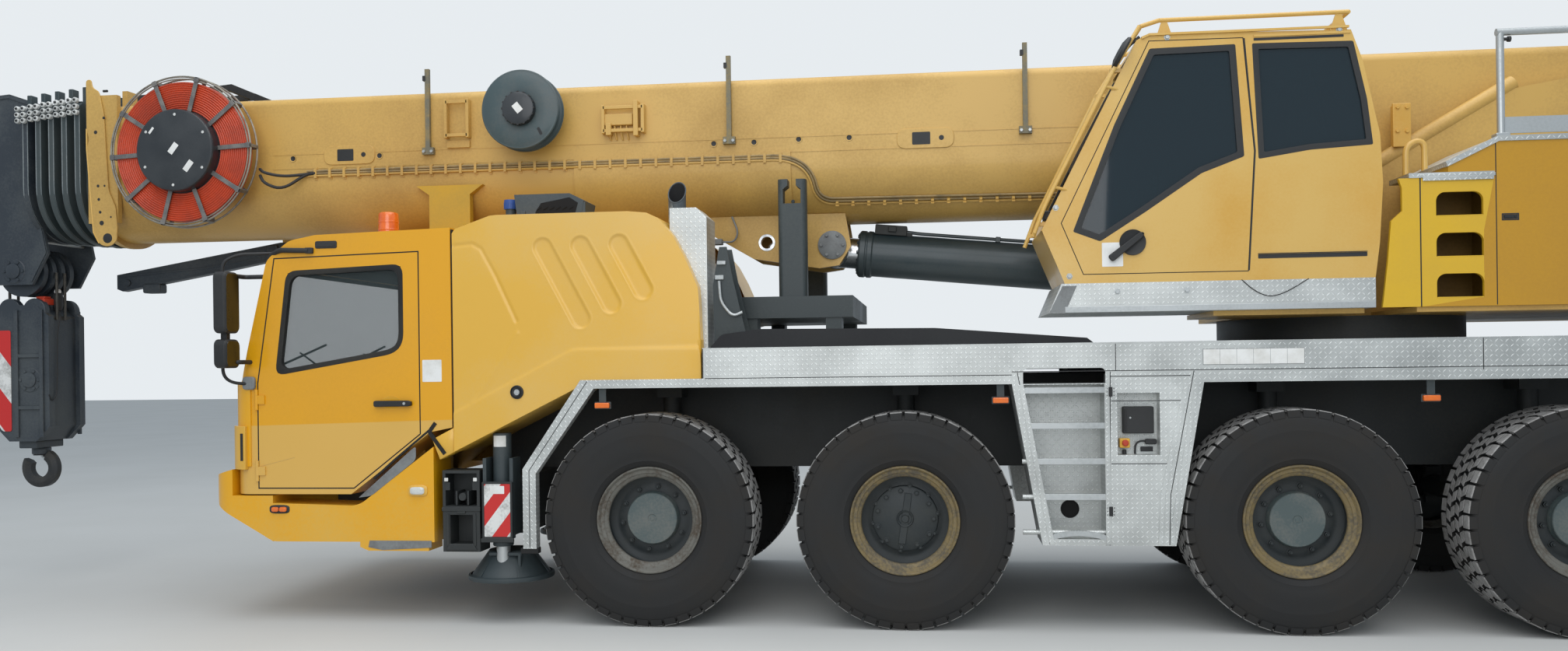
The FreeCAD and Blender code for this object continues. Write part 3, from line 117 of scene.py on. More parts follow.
for name, place, tilt, size, power in (("overhead", (0.5, -3.5, 13.0), 0.25, 16, 1500),
        ("front_fill", (-1.0, -15.0, 6.5), 1.22, 9, 560)):
    area = bpy.data.objects.new(name, bpy.data.lights.new(name, "AREA"))
    area.data.size, area.data.energy = size, power
    area.location, area.rotation_euler = place, (tilt, 0, 0)
    bpy.context.scene.collection.objects.link(area)


# Chassis: welded box frame with the axle beams, the steering knuckles and the engine, sprayed in
# one black paint that has dulled outdoors, with dust in the hollows of its film and fine orange
# peel.
SLOT_OF = {}


def finish(name, colour, worn, rough=0.35, metal=0.0, coat=0.0, patches=1.2, speckle=0.35, peel=0.02,
        over=None, slot=None):
    """A weathered finish: colour drifts towards worn in clouds and fine speckles, and is rougher there.

    over takes the node adder, the object's coordinates and the colour so far, and gives the colour
    to use. slot is the part's paint slot of this finish; it is kept in SLOT_OF and not used.
    """
    material = bpy.data.materials.new(name)
    SLOT_OF[name] = slot
    add = nodes_of(material)
    place = add("TexCoord").outputs["Object"]
    cloud = add("TexNoise", {"Vector": place, "Scale": patches, "Detail": 8})
    fine = add("TexNoise", {"Vector": place, "Scale": 60, "Detail": 4})
    blend = add("Math", {0: fine.outputs["Fac"], 1: speckle, 2: cloud.outputs["Fac"]},
        operation="MULTIPLY_ADD")
    wear = add("MapRange",
        {"Value": blend.outputs[0], "From Min": 0.42 + speckle / 2, "From Max": 0.72 + speckle / 2})
    tint = add("Mix", {0: wear.outputs[0], 6: (*colour, 1), 7: (*worn, 1)}, data_type="RGBA").outputs[2]
    dull = add("MapRange", {"Value": wear.outputs[0], "To Min": rough, "To Max": min(rough + 0.25, 1)})
    bump = add("Bump", {"Height": fine.outputs["Fac"], "Strength": 0.25, "Distance": peel * 0.05})
    surface = add("BsdfPrincipled", {"Base Color": over(add, place, tint) if over else tint,
        "Roughness": dull.outputs[0], "Normal": bump.outputs[0], "Metallic": metal, "Coat Weight": coat,
        "Coat Roughness": 0.12})
    add("OutputMaterial", {0: surface.outputs[0]})
    return material


def paint_faces(mesh, paints, which):
    """Gives a mesh its finishes; which maps its faces' centres, in metres from the first axle, to a
    place in paints.
    """
    mesh.materials.clear()
    for paint in paints:
        mesh.materials.append(paint)
    if which is not None:
        centres = np.zeros(len(mesh.polygons) * 3)
        mesh.polygons.foreach_get("center", centres)
        centres = centres.reshape(-1, 3) - np.array((FIRST_AXLE, 0, 0))
        mesh.polygons.foreach_set("material_index", np.asarray(which(*centres.T), dtype=np.int32))


def dress(names, *paints, which=None):
    """Finishes on the frame nodes of these names, parted by spaces."""
    for name in names.split():
        paint_faces(NODES[name].data, paints, which)


chassis_black = finish("chassis_paint", (0.02, 0.023, 0.023), (0.05, 0.048, 0.043), 0.55, slot="frame_paint")
dress("chassis_frame axle_beams engine_block", chassis_black)
dress(" ".join(name for name in NODES if name.startswith("knuckle")), chassis_black)


# Wheels: single tyres on steel rims, each with a dished disc, ten nuts and the flat cap of its
# planetary hub. The tyre is moulded rubber; its tread blocks are dusted grey by the road, and black
# grooves part them.
def grid(points, round_u=False, round_v=False):
    """Quads on rows of points: each joins a point, its next in the row, and the same two in the
    next row.
    """
    rows, columns = points.shape[:2]
    i, j = np.meshgrid(np.arange(rows if round_u else rows - 1),
        np.arange(columns if round_v else columns - 1), indexing="ij")
    below, beside = (i + 1) % rows, (j + 1) % columns
    quads = np.stack((i * columns + j, i * columns + beside, below * columns + beside, below * columns + j),
        -1)
    return points.reshape(-1, 3), quads.reshape(-1, 4).tolist()


def lathe(profile, steps, axis="Y", at=(0, 0, 0), closed=False):
    """A profile of (radius r, place p) turned about an axis: (r cos t, p, r sin t) for t from 0 to
    a full turn.
    """
    r, p = np.array(profile, float).T
    t = np.arange(steps) * (2 * math.pi / steps)
    a, b = np.outer(np.cos(t), r), np.outer(np.sin(t), r)
    along = np.broadcast_to(p, a.shape)
    order = {"X": (along, a, b), "Y": (a, along, b), "Z": (a, b, along)}[axis]
    points, quads = grid(np.stack(order, -1), round_u=True, round_v=closed)
    return points + np.array(at), quads


def prism(outline, low, high, axis="Y", rim=0.0):
    """An outline carried from low to high along an axis, its edges drawn in by rim, with a flat cap
    at each end.
    """
    flat = np.array(outline, float)
    before, after = np.roll(flat, 1, 0), np.roll(flat, -1, 0)
    way = np.sign(np.sum(before[:, 0] * flat[:, 1] - flat[:, 0] * before[:, 1]))
    ahead, behind = after - flat, flat - before
    ahead /= np.linalg.norm(ahead, axis=1)[:, None]
    behind /= np.linalg.norm(behind, axis=1)[:, None]
    inwards = way * np.stack((-(ahead + behind)[:, 1], (ahead + behind)[:, 0]), -1)
    inwards /= 1 + np.sum(ahead * behind, axis=1)[:, None]
    rings = [(0, low), (0, high)] if rim == 0 else [(rim, low), (0, low + rim), (0, high - rim), (rim, high)]
    made = []
    for drawn, place in rings:
        ring = flat + inwards * drawn
        level = np.full(len(ring), place)
        made.append(np.stack({"X": (level, ring[:, 0], ring[:, 1]), "Y": (ring[:, 0], level, ring[:, 1]),
            "Z": (ring[:, 0], ring[:, 1], level)}[axis], -1))
    points, faces = grid(np.array(made), round_v=True)
    count = len(flat)
    return points, faces + [list(range(count)), list(range(len(points) - count, len(points)))]


def joined(*shapes):
    """Several shapes as one: their points stacked, and each one's faces counted on from the points
    before it.
    """
    points, faces, start = [], [], 0
    for some, quads in shapes:
        points.append(some)
        faces += [[start + spot for spot in face] for face in quads]
        start += len(some)
    return np.concatenate(points), faces


def moved(shape, x=0.0, y=0.0, z=0.0):
    """The shape carried by an offset."""
    return shape[0] + np.array((x, y, z)), shape[1]


def copies(shape, spots):
    """Copies of a shape, one carried to each spot, as one."""
    return joined(*[moved(shape, *spot) for spot in spots])


def spun(shape, axis, angle, at=(0, 0, 0)):
    """The shape turned by an angle about an axis through a point."""
    turn = np.array(Matrix.Rotation(angle, 3, axis))
    return (shape[0] - np.array(at)) @ turn.T + np.array(at), shape[1]


def mirrored(shape):
    """The shape's other hand, across the machine's centre plane."""
    return shape[0] * np.array((1, -1, 1)), [face[::-1] for face in shape[1]]


def piece(name, body, shape, *paints, which=None, sharp=35, bevel=0.0, stands_for=(), slot=None):
    """A mesh in the frame's own metres: doubled points merged, faces turned outwards, smooth below
    the sharp angle.
    """
    points, faces = shape
    mesh = bpy.data.meshes.new(name)
    mesh.from_pydata((points + np.array((FIRST_AXLE, 0, 0))).tolist(), [], faces)
    paint_faces(mesh, paints, which)
    work = bmesh.new()
    work.from_mesh(mesh)
    bmesh.ops.remove_doubles(work, verts=work.verts, dist=1e-5)
    bmesh.ops.recalc_face_normals(work, faces=work.faces)
    work.to_mesh(mesh)
    work.free()
    mesh.shade_smooth()
    mesh.set_sharp_from_angle(angle=math.radians(sharp))
    thing = bpy.data.objects.new(name, mesh)
    bpy.context.scene.collection.objects.link(thing)
    if bevel:
        edge = thing.modifiers.new("edge", "BEVEL")
        edge.width, edge.segments, edge.limit_method = bevel, 2, "ANGLE"
    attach(thing, body)
    if stands_for:
        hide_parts(*stands_for)
    slot = slot or SLOT_OF.get(paints[0].name)
    return thing


def ringed(shape, count, radius, start=0.0):
    """Copies of a shape spread by equal turns round the Y axis, each at the radius from it."""
    turns = np.arange(count) * (2 * math.pi / count) + start
    return copies(shape, [(radius * math.cos(turn), 0, radius * math.sin(turn)) for turn in turns])


TYRE_RADIUS, BLOCK_EDGE, TREAD_FLOOR, PITCHES = 0.705, 0.703, 0.684, 46
PITCH = 2 * math.pi / PITCHES


def tread_row(corners, levels, phase):
    """One row of tread blocks: a block's corners (turn in pitches, place across) on each level's
    radius, all round.
    """
    spots = np.array(corners, float)
    middle = spots.mean(0)
    rings = []
    for radius, share in levels:
        turn = ((np.arange(PITCHES) + phase)[:, None] + middle[0] + (spots[:, 0] - middle[0]) * share) * PITCH
        across = np.broadcast_to(middle[1] + (spots[:, 1] - middle[1]) * share, turn.shape)
        rings.append(np.stack((radius * np.cos(turn), across, radius * np.sin(turn)), -1))
    points = np.stack(rings, 1).reshape(-1, 3)
    count, ring = len(levels), len(spots)
    block = [[i * ring + j, i * ring + (j + 1) % ring, (i + 1) * ring + (j + 1) % ring, (i + 1) * ring + j]
        for i in range(count - 1) for j in range(ring)] + [list(range((count - 1) * ring, count * ring))]
    faces = np.arange(PITCHES)[:, None] * count * ring
    return points, [(np.array(face) + start).tolist() for start in faces[:, 0] for face in block]


def shoulder_row(side):
    """The outermost blocks: each wraps from the tread over the shoulder, as five stations of its
    cross-section.
    """
    stations = np.array(
        ((0.704, 0.122), (0.705, 0.14), (0.705, 0.188), (0.699, 0.196), (0.68, 0.2005), (0.656, 0.2035)))
    turn = ((np.arange(PITCHES) + (0.25 if side > 0 else 0.0))[:, None] + np.array(
        (-0.43, -0.4, 0.4, 0.43))) * PITCH
    sunk = np.array((0.016, 0.0, 0.0, 0.016))
    r = stations[None, :, None, 0] - sunk + 0 * turn[:, None, :]
    y = side * (stations[None, :, None, 1] - 0.25 * sunk) + 0 * turn[:, None, :]
    points = np.stack((r * np.cos(turn)[:, None, :], y, r * np.sin(turn)[:, None, :]), -1).reshape(-1, 3)
    _, quads = grid(np.zeros((len(stations), 4, 3)))
    each = len(stations) * 4
    return points, [[spot + start * each for spot in face] for start in range(PITCHES)
        for face in quads + [[0, 1, 2, 3]]]


CARCASS = ((0.345, -0.15), (0.356, -0.17), (0.372, -0.187), (0.39, -0.196), (0.396, -0.2005), (0.402, -0.2),
    (0.43, -0.208), (0.47, -0.2135), (0.52, -0.215), (0.56, -0.2145), (0.566, -0.215), (0.574, -0.215),
    (0.58, -0.2138), (0.61, -0.2115), (0.64, -0.206), (0.662, -0.199), (0.676, -0.19), (0.683, -0.18),
    (0.684, -0.12))
tyre = joined(lathe(CARCASS + tuple((r, -y) for r, y in reversed(CARCASS)), 120),
    *[tread_row(((first, low), (first + 0.7, low), (last + 0.7, high), (last, high)),
        ((TREAD_FLOOR, 1.0), (BLOCK_EDGE, 0.97), (TYRE_RADIUS, 0.9)), phase) for first, low, last, high,
        phase in ((-0.42, -0.117, -0.18, -0.062, 0.0), (-0.18, -0.056, -0.42, -0.004, 0.3),
            (-0.42, 0.004, -0.18, 0.056, 0.5), (-0.18, 0.062, -0.42, 0.117, 0.8))], shoulder_row(-1),
    shoulder_row(1),)
RIM = ((0.34, -0.15), (0.354, -0.162), (0.3565, -0.172), (0.353, -0.179), (0.346, -0.18), (0.339, -0.175),
    (0.335, -0.165), (0.331, -0.161), (0.313, -0.158), (0.309, -0.152), (0.303, -0.148), (0.291, -0.143),
    (0.285, -0.136), (0.283, -0.126), (0.286, -0.117), (0.296, -0.108), (0.3, -0.095), (0.302, -0.03),
    (0.302, 0.12), (0.335, 0.15), (0.342, 0.172), (0.35, 0.178), (0.3565, 0.172), (0.35, 0.15), (0.315, 0.11),
    (0.315, -0.11))
DISC = ((0, -0.0035), (0.302, -0.0035), (0.302, -0.034), (0.285, -0.032), (0.262, -0.024), (0.24, -0.024),
    (0.226, -0.03), (0.185, -0.031), (0.178, -0.031))
HUB = ((0.18, -0.028), (0.178, -0.05), (0.173, -0.058), (0.171, -0.082), (0.1665, -0.0865), (0.03, -0.0885),
    (0.026, -0.085), (0.016, -0.085), (0.014, -0.087), (0.0, -0.087))
rim = lathe(RIM, 96, closed=True)
hub = joined(lathe(DISC, 96), lathe(HUB, 96))
bolt = lathe(
    ((0, -0.076), (0.012, -0.076), (0.0145, -0.072), (0.0145, -0.062), (0.02, -0.061), (0.02, -0.054)), 6)
crossbar = prism(((-0.024, -0.168), (0.024, -0.168), (0.024, 0.168), (-0.024, 0.168)), -0.066, -0.052,
    rim=0.003)
flat_hub = joined(lathe(DISC, 96),
    lathe(((0.218, -0.028), (0.214, -0.052), (0.204, -0.058), (0, -0.058)), 96), spun(crossbar, "Y", 0.14),
    lathe(((0.056, -0.062), (0.052, -0.072), (0.046, -0.07), (0.04, -0.062), (0.026, -0.062), (0.022, -0.08),
        (0, -0.081)), 40), ringed(bolt, 11, 0.186))
nut = joined(lathe(((0, -0.062), (0.008, -0.062), (0.009, -0.06), (0.009, -0.05)), 12),
    lathe(((0.01, -0.052), (0.016, -0.0505), (0.0175, -0.048), (0.0175, -0.034), (0.024, -0.033),
        (0.024, -0.029)), 6))
nuts = ringed(nut, 10, 0.213, 0.16)

tread_dust = finish("dusted_tread", (0.33, 0.32, 0.31), (0.17, 0.165, 0.155), 0.9, patches=9, speckle=0.5)
sidewall = finish("tyre_sidewall", (0.0105, 0.0105, 0.0105), (0.026, 0.023, 0.02), 0.72, patches=3,
    speckle=0.3, slot="tyre")
rim_steel = finish("rim_enamel", (0.135, 0.13, 0.112), (0.07, 0.052, 0.036), 0.55, patches=7, speckle=0.7,
    slot="grey_paint")
rim_ochre = finish("rim_ochre", (0.19, 0.14, 0.06), (0.095, 0.08, 0.056), 0.5, patches=9, speckle=0.8,
    slot="grey_paint")
# The near-black finish below is painted shade on the rims' barrels and the hub discs inside the lips, and the
# nuts' own black.
black_and_recess_shade = finish("black_nuts_and_painted_recess_shade", (0.018, 0.024, 0.026), (0.04, 0.044, 0.042), 0.5, patches=5,
    slot="grey_paint")
hub_enamel = finish("hub_enamel", (0.075, 0.1, 0.1), (0.13, 0.14, 0.13), 0.42, patches=5, speckle=0.6)
AXLES = (0.0, 1.69, 4.15, 5.82, 7.49)
HUB_HEIGHT, WHEEL_MIDDLE = 0.705, 1.145
for number, place in enumerate(AXLES, 1):
    for side, sign in (("left", -1), ("right", 1)):
        body = f"wheel_{side}_{number}"

        def stood(shape):
            """The wheel's part, drawn with its outer side to the left, at its own end of the axle."""
            whole = shape if sign < 0 else spun(shape, "Z", math.pi)
            return moved(whole, place, sign * WHEEL_MIDDLE, HUB_HEIGHT)

        def worn_by_road(x, y, z):
            """Finish 1 on the tops of the tread blocks, 0 on the sidewalls and in the grooves."""
            return np.hypot(x - place, z - HUB_HEIGHT) > 0.6965

        def in_barrel(x, y, z):
            """Finish 1, painted shade, inside the rim's lip, 0 on its flange."""
            return (np.hypot(x - place, z - HUB_HEIGHT) < 0.2835) | (np.abs(np.abs(y) - WHEEL_MIDDLE) < 0.118)

        piece(f"tyre_{side}_{number}", body, stood(tyre), sidewall, tread_dust, which=worn_by_road,
            stands_for=(body,))
        piece(f"rim_{side}_{number}", body, stood(rim), rim_ochre if number in (2, 3) else rim_steel,
            black_and_recess_shade, which=in_barrel)
        # The hub's disc takes the near-black painted shade, and on the second axle its cap does too.
        piece(f"hub_{side}_{number}", body, stood(flat_hub if number == 2 else hub), black_and_recess_shade,
            black_and_recess_shade if number == 2 else hub_enamel, which=lambda x, y,
            z: (np.hypot(x - place, z - HUB_HEIGHT) < 0.1795) & (np.abs(y) > WHEEL_MIDDLE + 0.03))
        piece(f"nuts_{side}_{number}", body, stood(nuts), black_and_recess_shade, slot="frame_paint")


# Carrier cab: pressed steel in amber enamel, paler below a sloping line across its doors' lower
# halves. Windows are set in crowned rubber seals; mirrors, lamps and handles are moulded plastic,
# screwed on.
def eased(points, reach, closed=True, steps=6):
    """Corners rounded as parabolas: from reach before a corner C to reach past it, (1-t)^2 A +
    2t(1-t) C + t^2 B.
    """
    spots = np.array(points, float)
    limit = np.broadcast_to(np.asarray(reach, float), len(spots))[:, None]

    def towards(other):
        way = other - spots
        long = np.linalg.norm(way, axis=1)[:, None]
        return spots + way / long * np.minimum(limit, 0.49 * long)

    before, after = towards(np.roll(spots, 1, 0))[:, None], towards(np.roll(spots, -1, 0))[:, None]
    t = np.linspace(0, 1, steps)[None, :, None]
    curves = (1 - t) ** 2 * before + 2 * t * (1 - t) * spots[:, None] + t ** 2 * after
    if closed:
        return curves.reshape(-1, spots.shape[1])
    return np.concatenate((spots[:1], curves[1:-1].reshape(-1, spots.shape[1]), spots[-1:]))


def grown(outline, out):
    """The outline moved outwards: each corner goes along the sum of its two edges' normals n and m,
    over 1 + n.m.
    """
    flat = np.array(outline, float)
    ahead, behind = np.roll(flat, -1, 0) - flat, flat - np.roll(flat, 1, 0)
    ahead /= np.linalg.norm(ahead, axis=1)[:, None]
    behind /= np.linalg.norm(behind, axis=1)[:, None]
    following = np.roll(flat, -1, 0)
    way = np.sign(np.sum(flat[:, 0] * following[:, 1] - following[:, 0] * flat[:, 1]))
    normals = np.stack(((ahead + behind)[:, 1], -(ahead + behind)[:, 0]), -1)
    return flat + way * out * normals / (1 + np.sum(ahead * behind, axis=1))[:, None]


def seal(outline, inwards, outwards, face, depth, crown, corner):
    """A rubber frame on an outline in X and Z: five rings, its middle one standing proud of the
    face by crown.
    """
    inner, outer = eased(grown(outline, -inwards), corner), eased(grown(outline, outwards), corner)
    rings = [(outer, face + depth), (outer, face), ((outer + inner) / 2, face - crown), (inner, face),
        (inner, face + depth)]
    return grid(
        np.array([np.stack((ring[:, 0], np.full(len(ring), y), ring[:, 1]), -1) for ring, y in rings]),
        round_u=True, round_v=True)


def strip(path, width, low, high, axis="Y"):
    """A flat bar along a path: the path moved half a width to each side, square to its run, and carried."""
    spots = np.array(path, float)
    run = np.gradient(spots, axis=0)
    run /= np.linalg.norm(run, axis=1)[:, None]
    aside = np.stack((-run[:, 1], run[:, 0]), -1) * width / 2
    return prism(np.concatenate((spots + aside, (spots - aside)[::-1])), low, high, axis)


def tube(path, radius, sides=10):
    """A round bar along a path: rings P + r (n cos a + b sin a), with n and b square to the path's run."""
    spots = np.array(path, float)
    run = np.gradient(spots, axis=0)
    run /= np.linalg.norm(run, axis=1)[:, None]
    still = np.eye(3)[np.argmin(np.abs(run).sum(0))]
    n = np.cross(run, still)
    n /= np.linalg.norm(n, axis=1)[:, None]
    b = np.cross(run, n)
    a = (np.arange(sides) * (2 * math.pi / sides))[None, :, None]
    points, faces = grid(spots[:, None] + radius * (np.cos(a) * n[:, None] + np.sin(a) * b[:, None]),
        round_v=True)
    return points, faces + [list(range(sides)), list(range(len(points) - sides, len(points)))]


def pipe(path, bend, radius, sides=10):
    """A round bar along a path whose corners are eased, from bend before each to bend past it."""
    return tube(eased(path, bend, closed=False), radius, sides)


def box(x, y, z, corner=0.0, rim=0.0, axis="Y"):
    """A block between pairs of places, its long edges rounded by corner and its rims drawn in."""
    spans = {"X": (y, z, x), "Y": (x, z, y), "Z": (x, y, z)}[axis]
    (a, b), (c, d), (low, high) = spans
    outline = np.array(((a, c), (b, c), (b, d), (a, d)))
    return prism(eased(outline, corner, steps=5) if corner else outline, low, high, axis, rim)


def pair(name, body, shape, *paints, **rest):
    """The piece on the left side and its other hand on the right; SIDE in the body's name is the side."""
    for side, hand in (("left", shape), ("right", mirrored(shape))):
        piece(f"{name}_{side}", body.replace("SIDE", side), hand, *paints, **rest)


def within(outline, x, z):
    """Whether each place lies inside an outline: a ray from it crosses an odd number of its edges."""
    a = np.array(outline, float)
    b = np.roll(a, -1, 0)
    spans = (a[:, 1, None] > z) != (b[:, 1, None] > z)
    rise = np.where(b[:, 1, None] == a[:, 1, None], 1.0, b[:, 1, None] - a[:, 1, None])
    cross = a[:, 0, None] + (z - a[:, 1, None]) * (b[:, 0, None] - a[:, 0, None]) / rise
    return np.sum(spans & (x < cross), axis=0) % 2 == 1


def paler_below_line(add, place, colour, level=1.412, slope=0.022, shade=(0.68, 0.4, 0.08, 1), soft=0.002):
    """The paler shade below z = level + slope x, x measured from the first axle, with a soft edge."""
    split = add("SeparateXYZ", {0: place}).outputs
    height = add("Math", {0: split[0], 1: -slope, 2: split[2]}, operation="MULTIPLY_ADD")
    edge = level - slope * FIRST_AXLE
    step = add("MapRange", {"Value": height.outputs[0], "From Min": edge + soft, "From Max": edge - soft})
    return add("Mix", {0: step.outputs[0], 6: colour, 7: shade}, data_type="RGBA").outputs[2]


def glazing(name, tint, alpha):
    """Safety glass as a thin film: let through by what alpha leaves, with a sharp gloss."""
    material = bpy.data.materials.new(name)
    add = nodes_of(material)
    surface = add("BsdfPrincipled", {"Base Color": (*tint, 1), "Roughness": 0.03, "Alpha": alpha})
    add("OutputMaterial", {0: surface.outputs[0]})
    return material


CAB_AMBER = (0.735, 0.345, 0.0035)
cab_enamel = finish("cab_enamel", CAB_AMBER, tuple(0.93 * shade for shade in CAB_AMBER), 0.28, coat=0.4,
    over=paler_below_line)
amber = finish("amber_enamel", (0.76, 0.37, 0.004), (0.7, 0.4, 0.05), 0.3, coat=0.35, slot="yellow_paint")
pale_amber = finish("pale_amber_enamel", (0.7, 0.39, 0.045), (0.66, 0.42, 0.11), 0.36, coat=0.25,
    slot="yellow_paint")
straw = finish("boom_enamel", (0.6, 0.37, 0.095), (0.45, 0.27, 0.07), 0.42, coat=0.1, slot="boom_paint")
cab_glazing = glazing("clear_glass", (0.06, 0.08, 0.08), 0.3)
# This black serves the plastic parts, and it also stands as painted shade in holes, slots and openings.
black_trim_and_shade = finish("black_plastic_and_painted_shade", (0.012, 0.013, 0.014), (0.03, 0.03, 0.03), 0.5, slot="cab_trim")
rubber = finish("tyre_rubber", (0.0085, 0.0085, 0.0085), (0.035, 0.033, 0.029), 0.78, slot="cab_trim")
galvanised = finish("galvanised_steel", (0.52, 0.54, 0.54), (0.4, 0.42, 0.42), 0.42, metal=0.85,
    slot="grey_paint")
cloth = finish("seat_cloth", (0.03, 0.033, 0.037), (0.075, 0.078, 0.082), 0.85, patches=6, speckle=0.6,
    peel=0.05)
lens_amber = finish("amber_lens", (0.8, 0.16, 0.008), (0.62, 0.1, 0.004), 0.15, coat=0.8, patches=14,
    speckle=0.1, slot="glass")
lens_clear = finish("clear_lens", (0.62, 0.64, 0.62), (0.5, 0.52, 0.5), 0.12, coat=0.8, patches=20,
    speckle=0.1, slot="glass")
sign_white = finish("blank_sign", (0.78, 0.78, 0.76), (0.62, 0.61, 0.57), 0.4, patches=8, speckle=0.2,
    slot="grey_paint")
grey_plastic = finish("grey_plastic", (0.2, 0.21, 0.21), (0.13, 0.13, 0.13), 0.5, patches=6,
    slot="grey_paint")
mirror_glass = finish("mirror_glass", (0.1, 0.11, 0.12), (0.08, 0.09, 0.1), 0.08, metal=1.0, patches=1,
    speckle=0.0, slot="glass")

CAB_SIDE = -1.34
CAB_INNER = ((-2.862, 0.958), (-2.862, 1.542), (-2.802, 1.652), (-2.612, 2.442), (-2.482, 2.562),
    (-2.3, 2.597), (-1.403, 2.622), (-1.403, 1.388), (-1.528, 1.358), (-2.098, 0.958))
DOOR = ((-2.735, 0.925), (-2.735, 1.64), (-2.605, 2.495), (-1.575, 2.52), (-1.575, 1.29), (-2.05, 0.925))
PANE = ((-2.59, 1.715), (-2.505, 2.395), (-1.7, 2.425), (-1.7, 1.915), (-1.76, 1.85))


def cab_face(x, y, z):
    """Finish 1 on what faces the cab's inside, 2 on the seats, 0 outside."""
    inner = within(CAB_INNER, x, z) & (np.abs(y) < 1.283)
    seats = inner & (np.abs(y) < 0.985) & (np.abs(y) > 0.495) & (x > -2.16) & (z < 2.06)
    return np.where(seats, 2, np.where(inner, 1, 0))


def door_face(x, y, z):
    """Finish 2 on the pane inside its seal, 1 on what faces the cab's inside, 0 outside."""
    off = np.abs(y)
    pane = (off > 1.303) & (off < 1.3105) & within(grown(PANE, 0.002), x, z) & (z > 1.7)
    return np.where(pane, 2, np.where(off < 1.2815, 1, 0))


dress("cab_shell", cab_enamel, black_trim_and_shade, cloth, which=cab_face)
dress("cab_door_left cab_door_right", cab_enamel, black_trim_and_shade, cab_glazing, which=door_face)
dress("cab_glass", cab_glazing)
dress("bumper_steps", amber)
pair("window_seal", "cab_door_SIDE", seal(PANE, 0.016, 0.018, CAB_SIDE - 0.001, 0.036, 0.004, 0.075), rubber)
pair("door_seal", "carrier", seal(DOOR, -0.0006, 0.0085, CAB_SIDE - 0.0006, 0.02, 0.0, 0.0), rubber)
pair("cab_gap_seal", "carrier", box((-1.3447, -1.3353), (-1.33, -1.3), (1.335, 2.668)), rubber)

# Door handle: a moulded bar on two feet over an oval dish, its lock in the rear end.
DISH_AT = np.array((-1.774, 1.5))
dish_turn = np.linspace(0, 2 * math.pi, 40, endpoint=False)
dish = np.stack((0.07 * np.cos(dish_turn), 0.05 * np.sin(dish_turn)), -1)
levels = ((1.0, 0.0), (1.0, 0.0016), (0.94, 0.0016), (0.86, 0.0002))
rings = [np.insert(DISH_AT + dish * share, 1, CAB_SIDE - proud, axis=1) for share, proud in levels]
points, faces = grid(np.array(rings), round_v=True)
dished = (points, faces + [list(range(120, 160))])
pair("handle_dish", "cab_door_SIDE", dished, amber)
pair("door_handle", "cab_door_SIDE", joined(prism(eased(
    ((-1.888, 1.474), (-1.64, 1.476), (-1.622, 1.484), (-1.622, 1.508), (-1.64, 1.516), (-1.888, 1.516)),
    0.016), CAB_SIDE - 0.034, CAB_SIDE - 0.014, rim=0.004),
    box((-1.884, -1.85), (CAB_SIDE - 0.02, CAB_SIDE), (1.48, 1.51), 0.006),
    box((-1.7, -1.626), (CAB_SIDE - 0.02, CAB_SIDE), (1.48, 1.51), 0.006),), black_trim_and_shade, bevel=0.002)
pair("door_lock", "cab_door_SIDE", lathe(((0, -0.004), (0.009, -0.004), (0.01, -0.002), (0.01, 0.01)), 16,
    at=(-1.668, CAB_SIDE - 0.034, 1.496)), galvanised)
# The crease is a thin strip in the darker straw enamel: painted shade along the crease.
pair("door_crease", "cab_door_SIDE",
    strip(((-2.73, 1.07), (-2.6, 1.102), (-2.475, 1.132)), 0.004, CAB_SIDE - 0.0008, CAB_SIDE + 0.002), straw,
    slot="yellow_paint")

# Roof marker, blank sign, side lamps and the grey tread strip above the step.
pair("roof_marker", "carrier", joined(
    box((-2.306, -2.15), (CAB_SIDE - 0.007, CAB_SIDE + 0.004), (2.561, 2.612), 0.014, 0.003),
    box((-2.292, -2.164), (CAB_SIDE - 0.01, CAB_SIDE - 0.004), (2.572, 2.601), 0.01, 0.002)), black_trim_and_shade)
pair("blank_sign_cab", "carrier", box((-1.55, -1.414), (CAB_SIDE - 0.0012, CAB_SIDE), (1.64, 1.789), 0.006),
    sign_white)
pair("tread_strip", "carrier", prism(eased(
    ((-1.604, 1.205), (-1.604, 1.112), (-1.925, 0.868), (-2.016, 0.856), (-1.64, 1.178)),
    (0.02, 0.03, 0.03, 0.008, 0.01)), CAB_SIDE - 0.0025, CAB_SIDE + 0.002, rim=0.001), grey_plastic,
    slot="cab_trim")
pair("arm_seal", "carrier", joined(strip(
    eased(((-1.462, 1.362), (-1.508, 1.3), (-1.398, 1.152)), 0.02, closed=False), 0.026, CAB_SIDE - 0.004,
    CAB_SIDE + 0.012),
    strip(((-1.5, 1.318), (-1.76, 1.11), (-1.905, 0.985)), 0.014, CAB_SIDE - 0.002, CAB_SIDE + 0.012)),
    rubber)
lamp_turn = np.linspace(0, 2 * math.pi, 32, endpoint=False)


def lamp(x, z, wide, tall, face):
    """A marker lamp's lens: a rounded oblong |x|^3.5 + |z|^3.5 = 1 domed outwards in four rings."""
    turned = np.stack((np.cos(lamp_turn), np.sin(lamp_turn)), -1)
    ring = np.sign(turned) * np.abs(turned) ** (2 / 3.5)
    rows = [
        np.stack((x + ring[:, 0] * wide * share, np.full(32, face - out), z + ring[:, 1] * tall * share), -1)
        for share, out in ((1.0, 0.0), (1.0, 0.006), (0.86, 0.011), (0.5, 0.014))]
    points, faces = grid(np.array(rows), round_v=True)
    return points, faces + [list(range(96, 128)), list(range(31, -1, -1))]


def bezel(x, z, wide, tall, face):
    """The dark or enamelled frame under a lamp, about a quarter larger than its lens."""
    return lamp(x, z, wide * 1.22, tall * 1.35, face)


